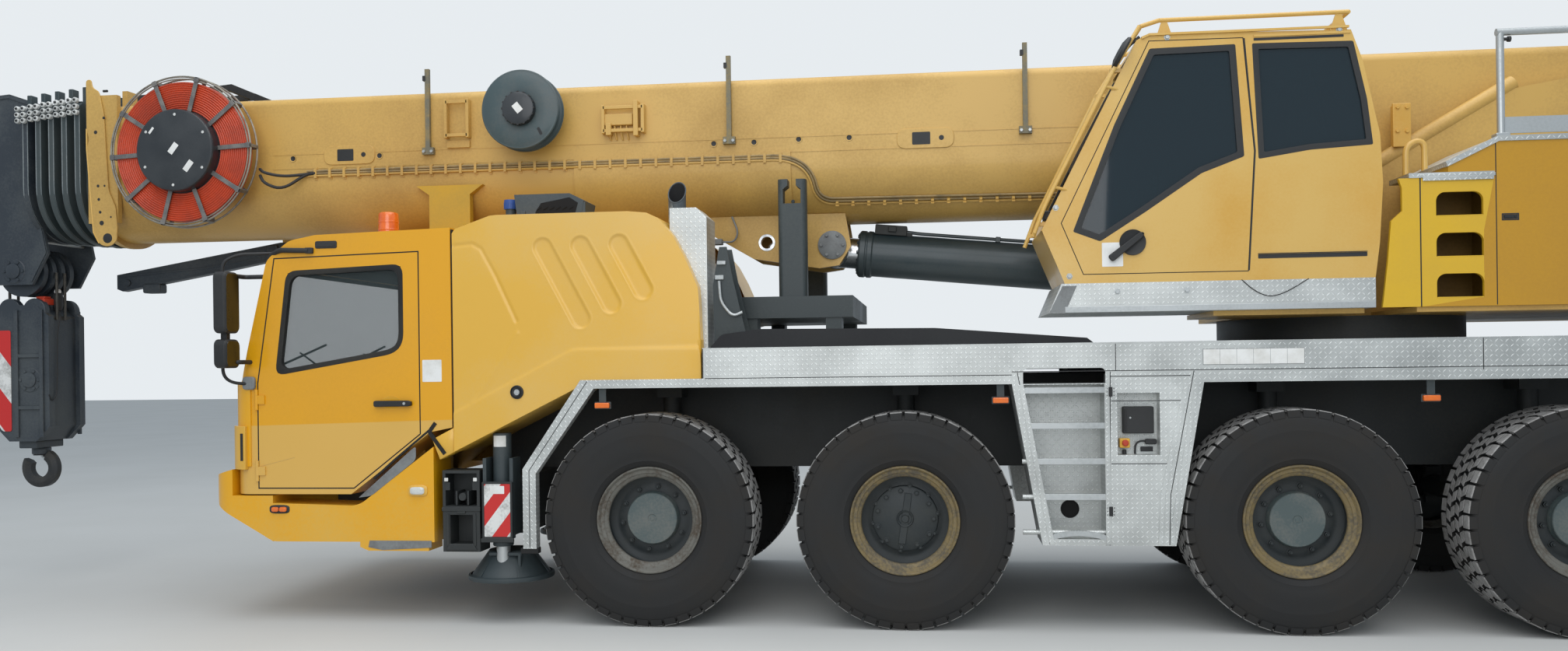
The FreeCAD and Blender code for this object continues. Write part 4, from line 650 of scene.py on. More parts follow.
pair("side_lamp_foot", "carrier", bezel(-1.592, 0.904, 0.056, 0.029, CAB_SIDE), pale_amber)
pair("side_lamp", "carrier", lamp(-1.592, 0.904, 0.05, 0.026, CAB_SIDE - 0.012), lens_clear)
pair("bumper_marker_foot", "carrier", bezel(-2.59, 0.776, 0.06, 0.022, CAB_SIDE + 0.004), black_trim_and_shade)
pair("bumper_marker", "carrier", joined(lamp(-2.618, 0.776, 0.026, 0.017, CAB_SIDE - 0.008),
    lamp(-2.561, 0.776, 0.026, 0.017, CAB_SIDE - 0.008)), lens_amber)

# Corner panels beside the windscreen's foot: curved sheet round the cab's front corners, with a box
# on the lower half that has a slot for air.
def corner_sheet(radius_in, radius_out, start, end, low, high):
    """Sheet round the corner: an arc of the outer radius and back along the inner one, carried up in Z."""
    t = np.radians(np.linspace(start, end, 14))
    ring = [np.stack((-2.8 - r * np.sin(t), -1.2 - r * np.cos(t)), -1) for r in (radius_out, radius_in)]
    return prism(np.concatenate((ring[0], ring[1][::-1])), low, high, "Z", 0.002)


pair("corner_panel", "carrier", corner_sheet(0.139, 0.149, -4, 62, 1.07, 1.64), amber)
pair("corner_box", "carrier", corner_sheet(0.139, 0.172, 6, 60, 1.05, 1.35), pale_amber, bevel=0.004)
# The air slot's opening is a thin black sheet: painted shade.
pair("corner_slot", "carrier", corner_sheet(0.168, 0.1735, 12, 20, 1.11, 1.3), black_trim_and_shade)

# Mirrors: rounded housings of black plastic, a long one over a wide-angle one, on steel tubes with
# two clamps, silvered glass to the rear. The beacon between them is a ribbed amber lens screwed on
# a rubber foot.
arm = joined(pipe(((-2.696, -1.3, 2.38), (-2.85, -1.3, 2.38), (-2.85, -1.5, 2.38)), 0.045, 0.016),
    pipe(((-2.79, -1.3405, 1.79), (-2.79, -1.46, 1.79), (-2.86, -1.5, 1.79)), 0.04, 0.016))
housing = joined(*[
    prism(eased(((-1.6, low), (-1.43, low), (-1.43, high), (-1.6, high)), 0.045), -2.898, -2.806, "X", 0.012)
    for low, high in ((1.985, 2.4), (1.75, 1.945))],
    box((-2.866, -2.838), (-1.535, -1.495), (1.93, 2.0), 0.008))
pair("mirror_housing", "carrier", joined(housing, arm), black_trim_and_shade, stands_for=("mirrors",), bevel=0.002)
frame_path = eased(((-2.655, -1.25, 2.545), (-2.84, -1.39, 2.53), (-2.922, -1.44, 2.48),
    (-2.922, -1.452, 2.1), (-2.922, -1.452, 1.7), (-2.88, -1.42, 1.65), (-2.8, -1.345, 1.64)), 0.05,
    closed=False)
pair("mirror_tube", "carrier", tube(frame_path, 0.011), black_trim_and_shade)
pair("mirror_clamps", "carrier",
    joined(*[box((-2.944, -2.89), (-1.48, -1.426), (z, z + 0.055), 0.01, 0.004) for z in (2.23, 1.82)]),
    black_trim_and_shade, bevel=0.003)
pair("mirror_glass", "carrier", joined(*[prism(
    eased(((-1.588, low), (-1.442, low), (-1.442, high), (-1.588, high)), 0.04), -2.8062, -2.8035, "X", 0.001)
    for low, high in ((1.997, 2.388), (1.762, 1.933))]), mirror_glass)
pair("mirror_foot", "carrier", box((-2.84, -2.75), (-1.366, -1.338), (1.6, 1.69), 0.025, 0.006), grey_plastic,
    slot="cab_trim", bevel=0.003)
pair("top_bracket", "carrier", joined(pipe(
    ((-2.64, -1.315, 2.525), (-2.56, -1.352, 2.556), (-2.47, -1.356, 2.552), (-2.35, -1.352, 2.548)), 0.03,
    0.018), box((-2.372, -2.318), (-1.364, -1.338), (2.528, 2.568), 0.008, 0.003)), black_trim_and_shade)
BEACON = (-1.99, -0.9, 0)
piece("beacon_lens", "carrier", lathe(((0.0, 2.858), (0.05, 2.857), (0.064, 2.85), (0.07, 2.836),
    (0.0705, 2.79), (0.0725, 2.788), (0.0725, 2.781), (0.0705, 2.779), (0.072, 2.735), (0.0745, 2.732),
    (0.0745, 2.725), (0.0725, 2.722), (0.074, 2.702), (0.0, 2.7)), 48, "Z", BEACON), lens_amber)
piece("beacon_foot", "carrier", lathe(
    ((0.0, 2.701), (0.078, 2.701), (0.083, 2.696), (0.084, 2.68), (0.086, 2.666), (0.0, 2.6655)), 40, "Z",
    BEACON), amber, slot="cab_trim")


# Seats and steering wheel, seen through the glass: foam under dark cloth on a steel base, a moulded
# rim.
def cushion(middle, half, lean=0.0, power=0.45):
    """A crowned pad: the signed powers of a sphere's cos and sin, stretched to its half sizes,
    leant about Y.
    """
    u, v = np.meshgrid(np.linspace(0, 2 * math.pi, 40, endpoint=False),
        np.linspace(-math.pi / 2, math.pi / 2, 21))

    def bent(values):
        return np.sign(values) * np.abs(values) ** power

    x, y, z = bent(np.cos(v)) * bent(np.cos(u)), bent(np.cos(v)) * bent(np.sin(u)), bent(np.sin(v))
    points, faces = grid(np.stack((half[0] * x, half[1] * y, half[2] * z), -1), round_v=True)
    points, faces = spun((points, faces), "Y", lean)
    return points + np.array(middle), faces


for side, y in (("left", -0.74), ("right", 0.74)):
    for part, shape in (("seat", cushion((-1.93, y, 1.345), (0.245, 0.255, 0.085))),
            ("back", cushion((-1.64, y, 1.68), (0.095, 0.25, 0.375), lean=0.186)),
            ("headrest", cushion((-1.56, y, 2.12), (0.062, 0.15, 0.105), lean=0.186, power=0.6))):
        piece(f"{part}_pad_{side}", "carrier", shape, cloth)
RIM_RADIUS, RIM_THICK = 0.225, 0.015
rim_turn, across = np.meshgrid(np.linspace(0, 2 * math.pi, 48, endpoint=False),
    np.linspace(0, 2 * math.pi, 10, endpoint=False), indexing="ij")
reach = RIM_RADIUS + RIM_THICK * np.cos(across)
torus = np.stack((reach * np.cos(rim_turn), reach * np.sin(rim_turn), RIM_THICK * np.sin(across)), -1)
steering = joined(grid(torus, round_u=True, round_v=True),
    tube(((-0.222, 0, 0), (0.0, 0, -0.03), (0.222, 0, 0)), 0.013),
    tube(((0, -0.222, 0), (0, 0, -0.03), (0, 0.222, 0)), 0.013), lathe(
        ((0.0, -0.02), (0.05, -0.02), (0.06, -0.035), (0.03, -0.06), (0.028, -0.45), (0.0, -0.45)), 24, "Z"))
steering = moved(spun(steering, "Y", math.radians(-32)), -2.39, -0.74, 1.7)
piece("steering_wheel", "carrier", steering, black_trim_and_shade)

# Cab front: windscreen seal, two wipers and the slats of the air grille.
SCREEN_LEAN = 0.24
front_turn = ((-1.18, 1.712), (1.18, 1.712), (1.18, 2.432), (-1.18, 2.432))
outer, inner = eased(grown(front_turn, 0.045), 0.09), eased(grown(front_turn, -0.02), 0.07)
screen = [np.stack((np.full(len(ring), x) + SCREEN_LEAN * (ring[:, 1] - 1.71), ring[:, 0], ring[:, 1]), -1)
    for ring, x in ((outer, -2.842), (outer, -2.8555), (inner, -2.8585), (inner, -2.842))]
piece("windscreen_seal", "carrier", grid(np.array(screen), round_u=True, round_v=True), rubber)
wiper = joined(pipe(((-2.89, -0.1, 1.66), (-2.885, -0.12, 1.7), (-2.835, -0.62, 1.86)), 0.03, 0.007),
    tube(((-2.862, -0.98, 1.735), (-2.842, -0.62, 1.83), (-2.818, -0.28, 1.925)), 0.009))
piece("wipers", "carrier", joined(wiper, moved(wiper, y=0.98)), black_trim_and_shade)
slats = [box((-2.9345, -2.929), (-0.8, 0.8), (z, z + 0.03), 0.0) for z in (1.2, 1.27, 1.34, 1.41, 1.48)]
piece("grille_slats", "carrier", joined(*slats), black_trim_and_shade, bevel=0.002)

# Boom: a base section in straw-coloured enamel with weld seams, round access holes in raised pads
# and brackets bolted to its side; the telescoping sections inside it are dark navy.
BOOM_SIDE, BOOM_ROUND, FLAT_LOW = -0.42, 0.403, 3.193


def on_boom(z, proud=0.0):
    """Y of the boom's left skin at height z: flat, then round below FLAT_LOW, moved out by proud."""
    drop = np.clip(FLAT_LOW - np.asarray(z, float), 0, BOOM_ROUND)
    return BOOM_SIDE + BOOM_ROUND - np.sqrt(BOOM_ROUND ** 2 - drop ** 2) - proud


navy = finish("navy_enamel", (0.028, 0.045, 0.05), (0.055, 0.066, 0.066), 0.4, coat=0.1, slot="dark_paint")
edge_highlight = finish("painted_edge_highlight", (0.12, 0.145, 0.155), (0.2, 0.22, 0.22), 0.35, coat=0.2, patches=6,
    slot="dark_paint")
hose_tan = finish("dusted_hose", (0.34, 0.235, 0.1), (0.2, 0.15, 0.08), 0.6, patches=10, slot="boom_paint")
hose_black = finish("black_hose", (0.012, 0.012, 0.013), (0.035, 0.034, 0.032), 0.55, patches=10,
    slot="hose_rubber")
roller_white = finish("roller_nylon", (0.66, 0.67, 0.65), (0.4, 0.41, 0.4), 0.4, patches=20,
    slot="grey_paint")
repaint = finish("touched_up_enamel", (0.56, 0.33, 0.02), (0.48, 0.3, 0.03), 0.34, coat=0.2, patches=3,
    slot="boom_paint")
steel = finish("bright_steel", (0.62, 0.64, 0.66), (0.45, 0.46, 0.47), 0.25, metal=1.0, patches=8,
    slot="grey_paint")
bar_grey = finish("bar_enamel", (0.15, 0.14, 0.1), (0.26, 0.2, 0.09), 0.5, patches=9, speckle=0.5)


def base_face(x, y, z):
    """Finish 1 on the bars along the side, 2 on the top frame over the reel, 3 on the repainted T
    bracket, 0 elsewhere.
    """
    bar = (y < -0.4265) & (z > 3.345) & ((np.abs(x + 1.89) < 0.05) | (np.abs(x - 0.42) < 0.05)
        | (np.abs(x - 2.56) < 0.05))
    bar &= y > -0.46
    top = (z > 3.838) & (x > -4.46) & (x < -3.1) & (np.abs(y) < 0.185)
    bracket = (x > -1.99) & (x < -1.45) & (z < 3.112) & (y < -0.3)
    return np.select([bar, top, bracket], [1, 2, 3], 0)


dress("boom_base", straw, bar_grey, black_trim_and_shade, repaint, which=base_face)
dress("boom_section_1 boom_section_2 boom_section_3 boom_section_4", navy)

seams = joined(*[strip(((-3.15, level), (4.4, level)), wide, BOOM_SIDE - 0.0025, BOOM_SIDE + 0.004) for level,
    wide in ((3.392, 0.01), (3.282, 0.008))])
pair("weld_seams", "boom", seams, straw)
holes = joined(*[lathe(((0, -0.0005), (0.019, -0.0005), (0.023, -0.003), (0.027, -0.003), (0.028, 0.002)), 24,
    at=(x, BOOM_SIDE, z)) for x,
    z in ((-2.99, 3.36), (-2.29, 3.36), (0.3, 3.36), (0.6, 3.36), (0.93, 3.37), (1.3, 3.37), (2.03, 3.36))])
# Each hole's opening is a black disc: painted shade.
piece("access_holes", "boom", holes, straw, black_trim_and_shade, which=lambda x, y,
    z: (y > BOOM_SIDE - 0.0012).astype(int))
for name, x, z in (("front", -2.53, 3.372), ("rear", 1.85, 3.345)):
    pad = eased(
        ((x - 0.205, z - 0.072), (x + 0.205, z - 0.072), (x + 0.205, z + 0.072), (x - 0.205, z + 0.072)),
        0.066)
    piece(f"window_pad_{name}", "boom", prism(pad, BOOM_SIDE - 0.008, BOOM_SIDE + 0.003, rim=0.003), straw)
    # The pad's window and round hole are thin black shapes on its face: painted shade.
    piece(f"pad_window_{name}", "boom", joined(
        box((x - 0.095, x + 0.035), (BOOM_SIDE - 0.0095, BOOM_SIDE - 0.006), (z - 0.045, z + 0.045), 0.008),
        lathe(((0, -0.0095), (0.018, -0.0095), (0.019, -0.004)), 24, at=(x + 0.115, BOOM_SIDE, z))),
        black_trim_and_shade)

# Hose line: three dusted hoses clipped along the boom's side, dropping past the lift bracket, and
# the two black tails that join them to the hose reel.
run = eased(((-2.87, 3.238), (0.86, 3.238), (1.02, 3.13), (1.06, 2.925), (4.3, 2.905)),
    (0, 0.14, 0.1, 0.12, 0), closed=False, steps=8)
steps = [np.linspace(a, b, max(2, int(np.linalg.norm(b - a) / 0.25) + 1))[:-1] for a, b in zip(run, run[1:])]
run = np.concatenate(steps + [run[-1:]])
for number, (shift, proud) in enumerate(((0.019, 0.011), (0.0, 0.011), (-0.018, 0.01))):
    aside = np.gradient(run, axis=0)
    aside /= np.linalg.norm(aside, axis=1)[:, None]
    path = run + shift * np.stack((-aside[:, 1], aside[:, 0]), -1)
    piece(f"hose_line_{number + 1}", "boom",
        tube(np.stack((path[:, 0], on_boom(path[:, 1], proud), path[:, 1]), -1), 0.0085, 8), hose_tan
        if number < 2 else straw)
clip = joined(box((-0.01, 0.01), (-0.022, 0.002), (-0.036, 0.036), 0.0),
    box((-0.012, 0.012), (-0.006, 0.002), (-0.048, 0.048), 0.0))
clips = [moved(clip, x, BOOM_SIDE, 3.238) for x in np.arange(-2.8, 0.84, 0.116)]
clips += [moved(spun(clip, "X", -0.78), x, on_boom(2.915), 2.915) for x in np.arange(1.2, 3.2, 0.116)]
piece("hose_clips", "boom", joined(*clips), straw)
for number, sag, top in ((1, 0.055, 3.262), (2, 0.11, 3.215)):
    tail = eased(((-3.176, -0.56, top), (-3.13, -0.59, top - sag * 0.6), (-3.02, -0.52, top - sag),
        (-2.88, -0.44, 3.232), (-2.8, -0.434, 3.24)), 0.12, closed=False)
    piece(f"reel_tail_{number}", "boom", tube(tail, 0.0115), hose_black)

# Brackets on the boom's side: two small frames, the junction box with its cables, bolts on the
# bars' feet.
def frame_bracket(x, z, wide, tall):
    """An open frame of flat bar standing off the side on two feet."""
    rail = box((x - wide / 2, x + wide / 2), (-0.475, -0.455), (z - 0.012, z + 0.012), 0.003)
    return joined(moved(rail, z=tall / 2), moved(rail, z=-tall / 2), *[
        box((x + side * wide / 2 - 0.012, x + side * wide / 2 + 0.012), (-0.475, BOOM_SIDE),
            (z - tall / 2 - 0.02, z + tall / 2 + 0.02), 0.003) for side in (-1, 1)])


piece("side_frames", "boom", joined(frame_bracket(-1.655, 3.61, 0.17, 0.25),
    box((-1.745, -1.565), (-0.44, BOOM_SIDE), (3.395, 3.45), 0.006), frame_bracket(-0.372, 3.56, 0.3, 0.17),
    box((-0.29, -0.255), (-0.485, BOOM_SIDE), (3.43, 3.69), 0.006),
    box((-0.5, -0.46), (-0.48, BOOM_SIDE), (3.44, 3.53), 0.006)), straw, bevel=0.002)
piece("junction_box", "boom", joined(box((-0.52, -0.3), (-0.462, -0.428), (3.515, 3.6), 0.008, 0.004),
    *[tube(((x, -0.444, 3.52), (x + 0.004, -0.447, 3.46), (x + 0.012, -0.431, 3.41)), 0.006)
        for x in (-0.485, -0.44, -0.395, -0.35)]), straw, bevel=0.002)
hex_head = lathe(((0, -0.01), (0.011, -0.01), (0.013, -0.008), (0.013, 0.0)), 6)
piece("bar_bolts", "boom",
    copies(hex_head, [(x + side * 0.03, -0.454, 3.372) for x in (-1.89, 0.42, 2.56) for side in (-1, 1)]),
    galvanised)
piece("bar_hooks", "boom", joined(
    *[box((x - 0.034, x - 0.01), (-0.456, -0.43), (3.905, 3.945), 0.004) for x in (-1.89, 0.42, 2.56)]),
    black_trim_and_shade)
piece("bracket_bolt", "boom", joined(
    lathe(((0, -0.016), (0.022, -0.016), (0.025, -0.012), (0.025, 0.0)), 6, at=(-1.62, -0.461, 2.79)),
    lathe(((0, -0.005), (0.034, -0.005), (0.036, 0.0)), 24, at=(-1.62, -0.461, 2.79))), repaint)

# Lift bracket's fittings: retaining plate with its bolts over the cylinder's pin, a bright ring in
# the hole, a sensor and its hose.
piece("pin_plate", "boom", joined(
    lathe(((0, -0.014), (0.1, -0.014), (0.106, -0.01), (0.106, 0.0)), 36, at=(1.15, -0.236, 2.61)),
    moved(ringed(hex_head, 6, 0.082), 1.15, -0.25, 2.61)), grey_plastic)
piece("bracket_ring", "boom", lathe(((0.045, -0.003), (0.062, -0.003), (0.064, 0.0), (0.045, 0.0)), 36,
    at=(0.66, -0.2355, 2.64), closed=True), steel)
piece("sensor", "boom", joined(box((0.22, 0.33), (-0.3, -0.236), (2.628, 2.672), 0.008, 0.004),
    pipe(((0.33, -0.27, 2.65), (0.42, -0.275, 2.645), (0.45, -0.262, 2.72), (0.4, -0.25, 2.84)), 0.05,
        0.007)), grey_plastic, slot="cab_trim")

# Collars: pressed plates round the sections' ends, a painted highlight along their front edges,
# with white rollers and guide blocks above them that carry the hoses over the nested sections.
COLLAR_AT, COLLAR_PITCH, NESTING = -4.67, 0.12, 0.034


def collar_rim(step, radius, at, out):
    """A bead of painted highlight along a collar's front edge: down the left side, round underneath
    and up the right side.
    """
    inside = NESTING * step
    half, low, high = 0.42 - inside + out, 2.79 + inside - out, 3.83 - inside + out - 0.06
    turn = np.linspace(0, math.pi, 25)
    middle = low + half
    lower = np.stack((np.full(25, at), -half * np.cos(turn), middle - half * np.sin(turn)), -1)
    return tube(np.concatenate(([[at, -half, high]], [[at, -half, middle + 0.2]], lower,
        [[at, half, middle + 0.2]], [[at, half, high]])), radius, 8)


for step in range(1, 6):
    body = f"boom_section_{step}" if step < 5 else "boom_head"
    out = 0.0425 + 0.0238 * step
    front = COLLAR_AT - COLLAR_PITCH * step
    # Both beads are painted highlight on the collar's front edge.
    piece(f"collar_rim_{step}", body, joined(collar_rim(step, 0.0055, front + 0.004, out - 0.002),
        collar_rim(step, 0.004, front + 0.043, out - 0.001)), edge_highlight)
    inside = NESTING * step
    top = 3.83 - inside + out
    lugs = [box((front + 0.004, front + 0.042), (y - 0.035, y + 0.035), (top - 0.02, 4.01 - 0.012 * step),
        0.006, 0.003) for y in (-0.33, 0.33)]
    lugs += [box((front - 0.03, front + 0.06), (y - 0.055, y + 0.055), (top - 0.01, top + 0.055), 0.01, 0.004)
        for y in (-0.23, 0.23)]
    piece(f"guide_lugs_{step}", body, joined(*lugs), navy, bevel=0.003)
    half = 0.42 - inside + out
    ring = lathe(
        ((0.009, -0.016), (0.016, -0.018), (0.021, -0.012), (0.021, 0.012), (0.016, 0.018), (0.009, 0.016)),
        20, closed=True)
    pins = lathe(((0, -0.024), (0.008, -0.024), (0.008, 0.03), (0, 0.03)), 10)
    spots = [(front + dx, -half - 0.02 + dy, z) for dx, dy in ((-0.022, 0.0), (0.034, -0.006))
        for z in (3.878 - 0.01 * step, 3.83 - 0.01 * step, 3.783 - 0.01 * step)]
    piece(f"hose_rollers_{step}", body, copies(ring, spots), roller_white)
    piece(f"roller_pins_{step}", body, copies(pins, spots), black_trim_and_shade)
piece("pull_rod", "boom", tube(((-4.62, -0.3, 3.975), (-4.64, -0.3, 3.975), (-4.655, -0.3, 3.975)), 0.01),
    black_trim_and_shade)

# Front plate of the base collar: a narrow flanged plate down the left side with five small holes, a
# bite taken out near its top and a lifting eye in its rounded foot.
plate_line = ((-4.668, 4.02), (-4.625, 4.026), (-4.615, 3.96), (-4.56, 3.93), (-4.52, 3.74), (-4.5, 3.36),
    (-4.488, 3.15), (-4.43, 3.02), (-4.418, 2.86), (-4.424, 2.76), (-4.47, 2.722), (-4.52, 2.716),
    (-4.575, 2.74), (-4.62, 2.83), (-4.655, 3.3), (-4.668, 3.48), (-4.648, 3.56), (-4.668, 3.64))
front_plate = prism(eased(plate_line, 0.025, steps=4), -0.478, -0.4655, rim=0.002)
edge_path = np.array([(x, -0.4745, z) for x,
    z in ((-4.668, 3.64), (-4.668, 3.48), (-4.655, 3.3), (-4.62, 2.83), (-4.575, 2.745))])
piece("collar_plate", "boom", front_plate, straw)
# The paler bead along the plate's edge is a painted highlight.
piece("collar_plate_edge", "boom", tube(edge_path, 0.006, 8), pale_amber, slot="boom_paint")
# The holes and the lifting eye's opening are black discs: painted shade.
piece("collar_plate_holes", "boom", joined(*[
    lathe(((0, -0.0005), (r, -0.0005), (r + 0.001, 0.001)), 20, at=(x, -0.4785, z)) for x, z,
    r in ((-4.59, 3.61, 0.014), (-4.575, 3.19, 0.011), (-4.57, 3.085, 0.011), (-4.56, 2.985, 0.011),
        (-4.548, 2.9, 0.018), (-4.52, 3.72, 0.01), (-4.52, 3.19, 0.008), (-4.47, 2.945, 0.007))],
    lathe(((0, -0.0005), (0.036, -0.0005), (0.04, 0.001)), 28, at=(-4.5, -0.4785, 2.78))), black_trim_and_shade)

# Hose reel: red twin hose wound in one flat coil between ten galvanised flat spokes and two double
# hoops, round a black spring drum whose cover is held by six bolts.
REEL = (-3.76, 3.4)
COIL_IN, COIL_OUT, TURNS = 0.315, 0.53, 13
coil_r = np.linspace(COIL_IN, COIL_OUT, TURNS * 6 + 1)
coil_y = -0.64 - 0.0075 * np.abs(np.sin((coil_r - COIL_IN) / ((COIL_OUT - COIL_IN) / TURNS) * math.pi))
coil = lathe(tuple(zip(coil_r, coil_y)) + ((0.532, -0.6), (COIL_OUT, -0.57), (COIL_IN, -0.57)), 120,
    at=(REEL[0], 0, REEL[1]), closed=True)
hose_red = finish("red_hose_turns", (0.56, 0.06, 0.016), (0.4, 0.05, 0.02), 0.42, coat=0.15, patches=5,
    speckle=0.4, slot="hose_rubber")
hoop_grey = finish("hoop_steel", (0.3, 0.275, 0.225), (0.18, 0.165, 0.14), 0.45, metal=0.5, patches=10,
    slot="grey_paint")
spoke_grey = finish("spoke_steel", (0.165, 0.16, 0.155), (0.26, 0.245, 0.225), 0.42, metal=0.5, patches=12,
    slot="grey_paint")
piece("reel_coil", "hose_reel", coil, hose_red, stands_for=("hose_reel",))
hoop_turn = np.linspace(0, 2 * math.pi, 96, endpoint=False)


def hoop(radius, y, thick):
    """A round bar bent to a ring: the section's circle carried round the reel's axle."""
    a = np.linspace(0, 2 * math.pi, 8, endpoint=False)
    a, turned = np.meshgrid(a, hoop_turn)
    r = radius + thick * np.cos(a)
    return grid(
        np.stack((REEL[0] + r * np.cos(turned), y + thick * np.sin(a), REEL[1] + r * np.sin(turned)), -1),
        round_u=True, round_v=True)


piece("reel_hoops", "hose_reel",
    joined(hoop(0.567, -0.652, 0.0075), hoop(0.548, -0.655, 0.0055), hoop(0.567, -0.566, 0.0075)), hoop_grey)
spoke = joined(box((0.295, 0.574), (-0.6635, -0.6555), (-0.0165, 0.0165), 0.003),
    box((0.542, 0.5745), (-0.6635, -0.56), (-0.012, 0.012), 0.003),
    box((0.295, 0.574), (-0.567, -0.56), (-0.0165, 0.0165), 0.003),
    box((0.536, 0.568), (-0.669, -0.648), (-0.02, 0.02), 0.004))
spokes = [moved(spun(spoke, "Y", -math.radians(3 + 36 * step)), REEL[0], 0, REEL[1]) for step in range(10)]
piece("reel_spokes", "hose_reel", joined(*spokes), spoke_grey, bevel=0.001)
drum_cover = lathe(((0, -0.7325), (0.29, -0.7325), (0.302, -0.729), (0.309, -0.72), (0.31, -0.7),
    (0.31, -0.64), (0.316, -0.64), (0.316, -0.6), (0.07, -0.565), (0.07, -0.4205), (0, -0.4205)), 96,
    at=(REEL[0], 0, REEL[1]))
cover_black = finish("drum_cover", (0.016, 0.02, 0.024), (0.035, 0.04, 0.044), 0.38, coat=0.2, patches=3,
    speckle=0.2, slot="cab_trim")
piece("reel_drum", "hose_reel", drum_cover, cover_black)
drum_bolt = lathe(((0, -0.7345), (0.009, -0.7345), (0.011, -0.7325)), 12)
piece("drum_bolts", "hose_reel", moved(ringed(drum_bolt, 6, 0.265, math.radians(28)), REEL[0], 0, REEL[1]),
    roller_white)
labels = [moved(spun(box((-wide, wide), (-0.734, -0.733), (-tall, tall), corner), "Y", -0.9), REEL[0] + x, 0,
    REEL[1] + z) for x, z, wide, tall, corner in ((-0.005, 0.01, 0.045, 0.022, 0.003),
        (0.115, -0.125, 0.045, 0.022, 0.003), (-0.18, 0.15, 0.028, 0.009, 0.002))]
piece("drum_labels", "hose_reel", joined(*labels), sign_white)

# Cable reel: two pressed flanges on a hub with its spring housing, a thin black cable wound between
# them.
DRUM = (-1.08, 3.61)
reel_blue = finish("reel_enamel", (0.05, 0.078, 0.084), (0.085, 0.1, 0.1), 0.42, coat=0.1, patches=4,
    slot="grey_paint")
flange = lathe(((0.12, -0.69), (0.15, -0.694), (0.262, -0.694), (0.272, -0.688), (0.284, -0.688),
    (0.29, -0.682), (0.288, -0.676), (0.28, -0.676), (0.262, -0.682), (0.12, -0.682)), 96,
    at=(DRUM[0], 0, DRUM[1]), closed=True)
piece("cable_flanges", "cable_reel", joined(flange, moved(flange, y=0.125)), reel_blue,
    stands_for=("cable_reel",))
wound = np.linspace(-0.68, -0.566, 13 * 4 + 1)
piece("cable_turns", "cable_reel", lathe(tuple(
    zip(0.205 + 0.004 * np.abs(np.sin((wound + 0.68) / 0.114 * 13 * math.pi)), wound)) + ((0.1, -0.566),
        (0.1, -0.68)), 72, at=(DRUM[0], 0, DRUM[1]), closed=True), hose_black)
piece("cable_hub", "cable_reel", lathe(((0, -0.74), (0.105, -0.74), (0.117, -0.735), (0.121, -0.724),
    (0.121, -0.565), (0.055, -0.555), (0.055, -0.4205), (0, -0.4205)), 64, at=(DRUM[0], 0, DRUM[1])),
    cover_black)
teeth = joined(*[
    moved(spun(box((0.112, 0.1235), (-0.736, -0.706), (-0.007, 0.007), 0.0), "Y", t), DRUM[0], 0, DRUM[1])
    for t in np.arange(16) * math.pi / 8])
piece("cable_hub_ribs", "cable_reel", teeth, black_trim_and_shade)
piece("cable_label", "cable_reel", moved(
    spun(box((-0.036, 0.036), (-0.7415, -0.7402), (-0.026, 0.026), 0.003), "Y", 0.9), DRUM[0], 0, DRUM[1]),
    sign_white)
slot_shape = prism(eased(((-0.03, -0.011), (0.03, -0.011), (0.03, 0.011), (-0.03, 0.011)), 0.011), -0.6952,
    -0.6936)
# The slot in the flange is a thin black shape: painted shade.
piece("flange_slot", "cable_reel", moved(spun(slot_shape, "Y", 1.1), DRUM[0] + 0.15, 0, DRUM[1] - 0.165),
    black_trim_and_shade)

# Operator's cab: straw enamel on sheet steel, tinted panes bonded in wide black borders, round bars
# for handrails over its roof and down its front, and a checker-plate platform below.
BOOTH_SIDE = -1.33
BOOTH_DOOR = ((2.708, 2.6), (2.841, 2.275), (3.843, 2.275), (3.888, 3.02), (3.858, 3.37), (3.828, 3.725),
    (3.262, 3.73))
BOOTH_PANE = ((2.79, 2.55), (2.945, 2.49), (3.227, 2.67), (3.567, 2.9), (3.82, 2.995), (3.775, 3.68),
    (3.27, 3.675), (3.05, 3.21))
REAR_PANE = ((3.925, 2.98), (4.222, 3.025), (4.585, 3.045), (4.553, 3.32), (4.478, 3.67), (3.895, 3.68))
BOOTH_INNER = ((2.63, 2.566), (2.752, 2.276), (4.556, 2.276), (4.585, 2.44), (4.606, 2.8), (4.592, 3.09),
    (4.497, 3.548), (4.44, 3.706), (3.262, 3.73), (3.215, 3.708))


def booth_face(x, y, z):
    """Finish 1 on what faces the inside, 2 on the seat, 0 outside."""
    inner = within(BOOTH_INNER, x, z) & (y > -1.2865) & (y < -0.609)
    return np.where(inner & (x > 3.495) & (x < 4.18) & (y > -1.182) & (y < -0.718), 2, np.where(inner, 1, 0))


booth_enamel = finish("booth_enamel", (0.64, 0.405, 0.105), (0.6, 0.33, 0.05), 0.34, coat=0.3, patches=1.6,
    speckle=0.2, slot="boom_paint")
dress("booth_shell", booth_enamel, black_trim_and_shade, cloth, which=booth_face)
dress("booth_door", booth_enamel, black_trim_and_shade, which=lambda x, y, z: (y > -1.2865).astype(int))
dress("booth_glass", glazing("tinted_glass", (0.012, 0.024, 0.032), 0.84))
piece("door_pane_border", "operators_cab",
    seal(BOOTH_PANE, 0.03, 0.01, BOOTH_SIDE - 0.0005, 0.022, 0.0008, 0.012), black_trim_and_shade)
piece("rear_pane_border", "operators_cab",
    seal(REAR_PANE, 0.026, 0.01, BOOTH_SIDE - 0.0005, 0.022, 0.0008, 0.012), black_trim_and_shade)
door_line = seal(BOOTH_DOOR, -0.0002, 0.0055, BOOTH_SIDE - 0.0003, 0.02, 0.0, 0.0)
piece("booth_door_seal", "operators_cab", door_line, rubber)

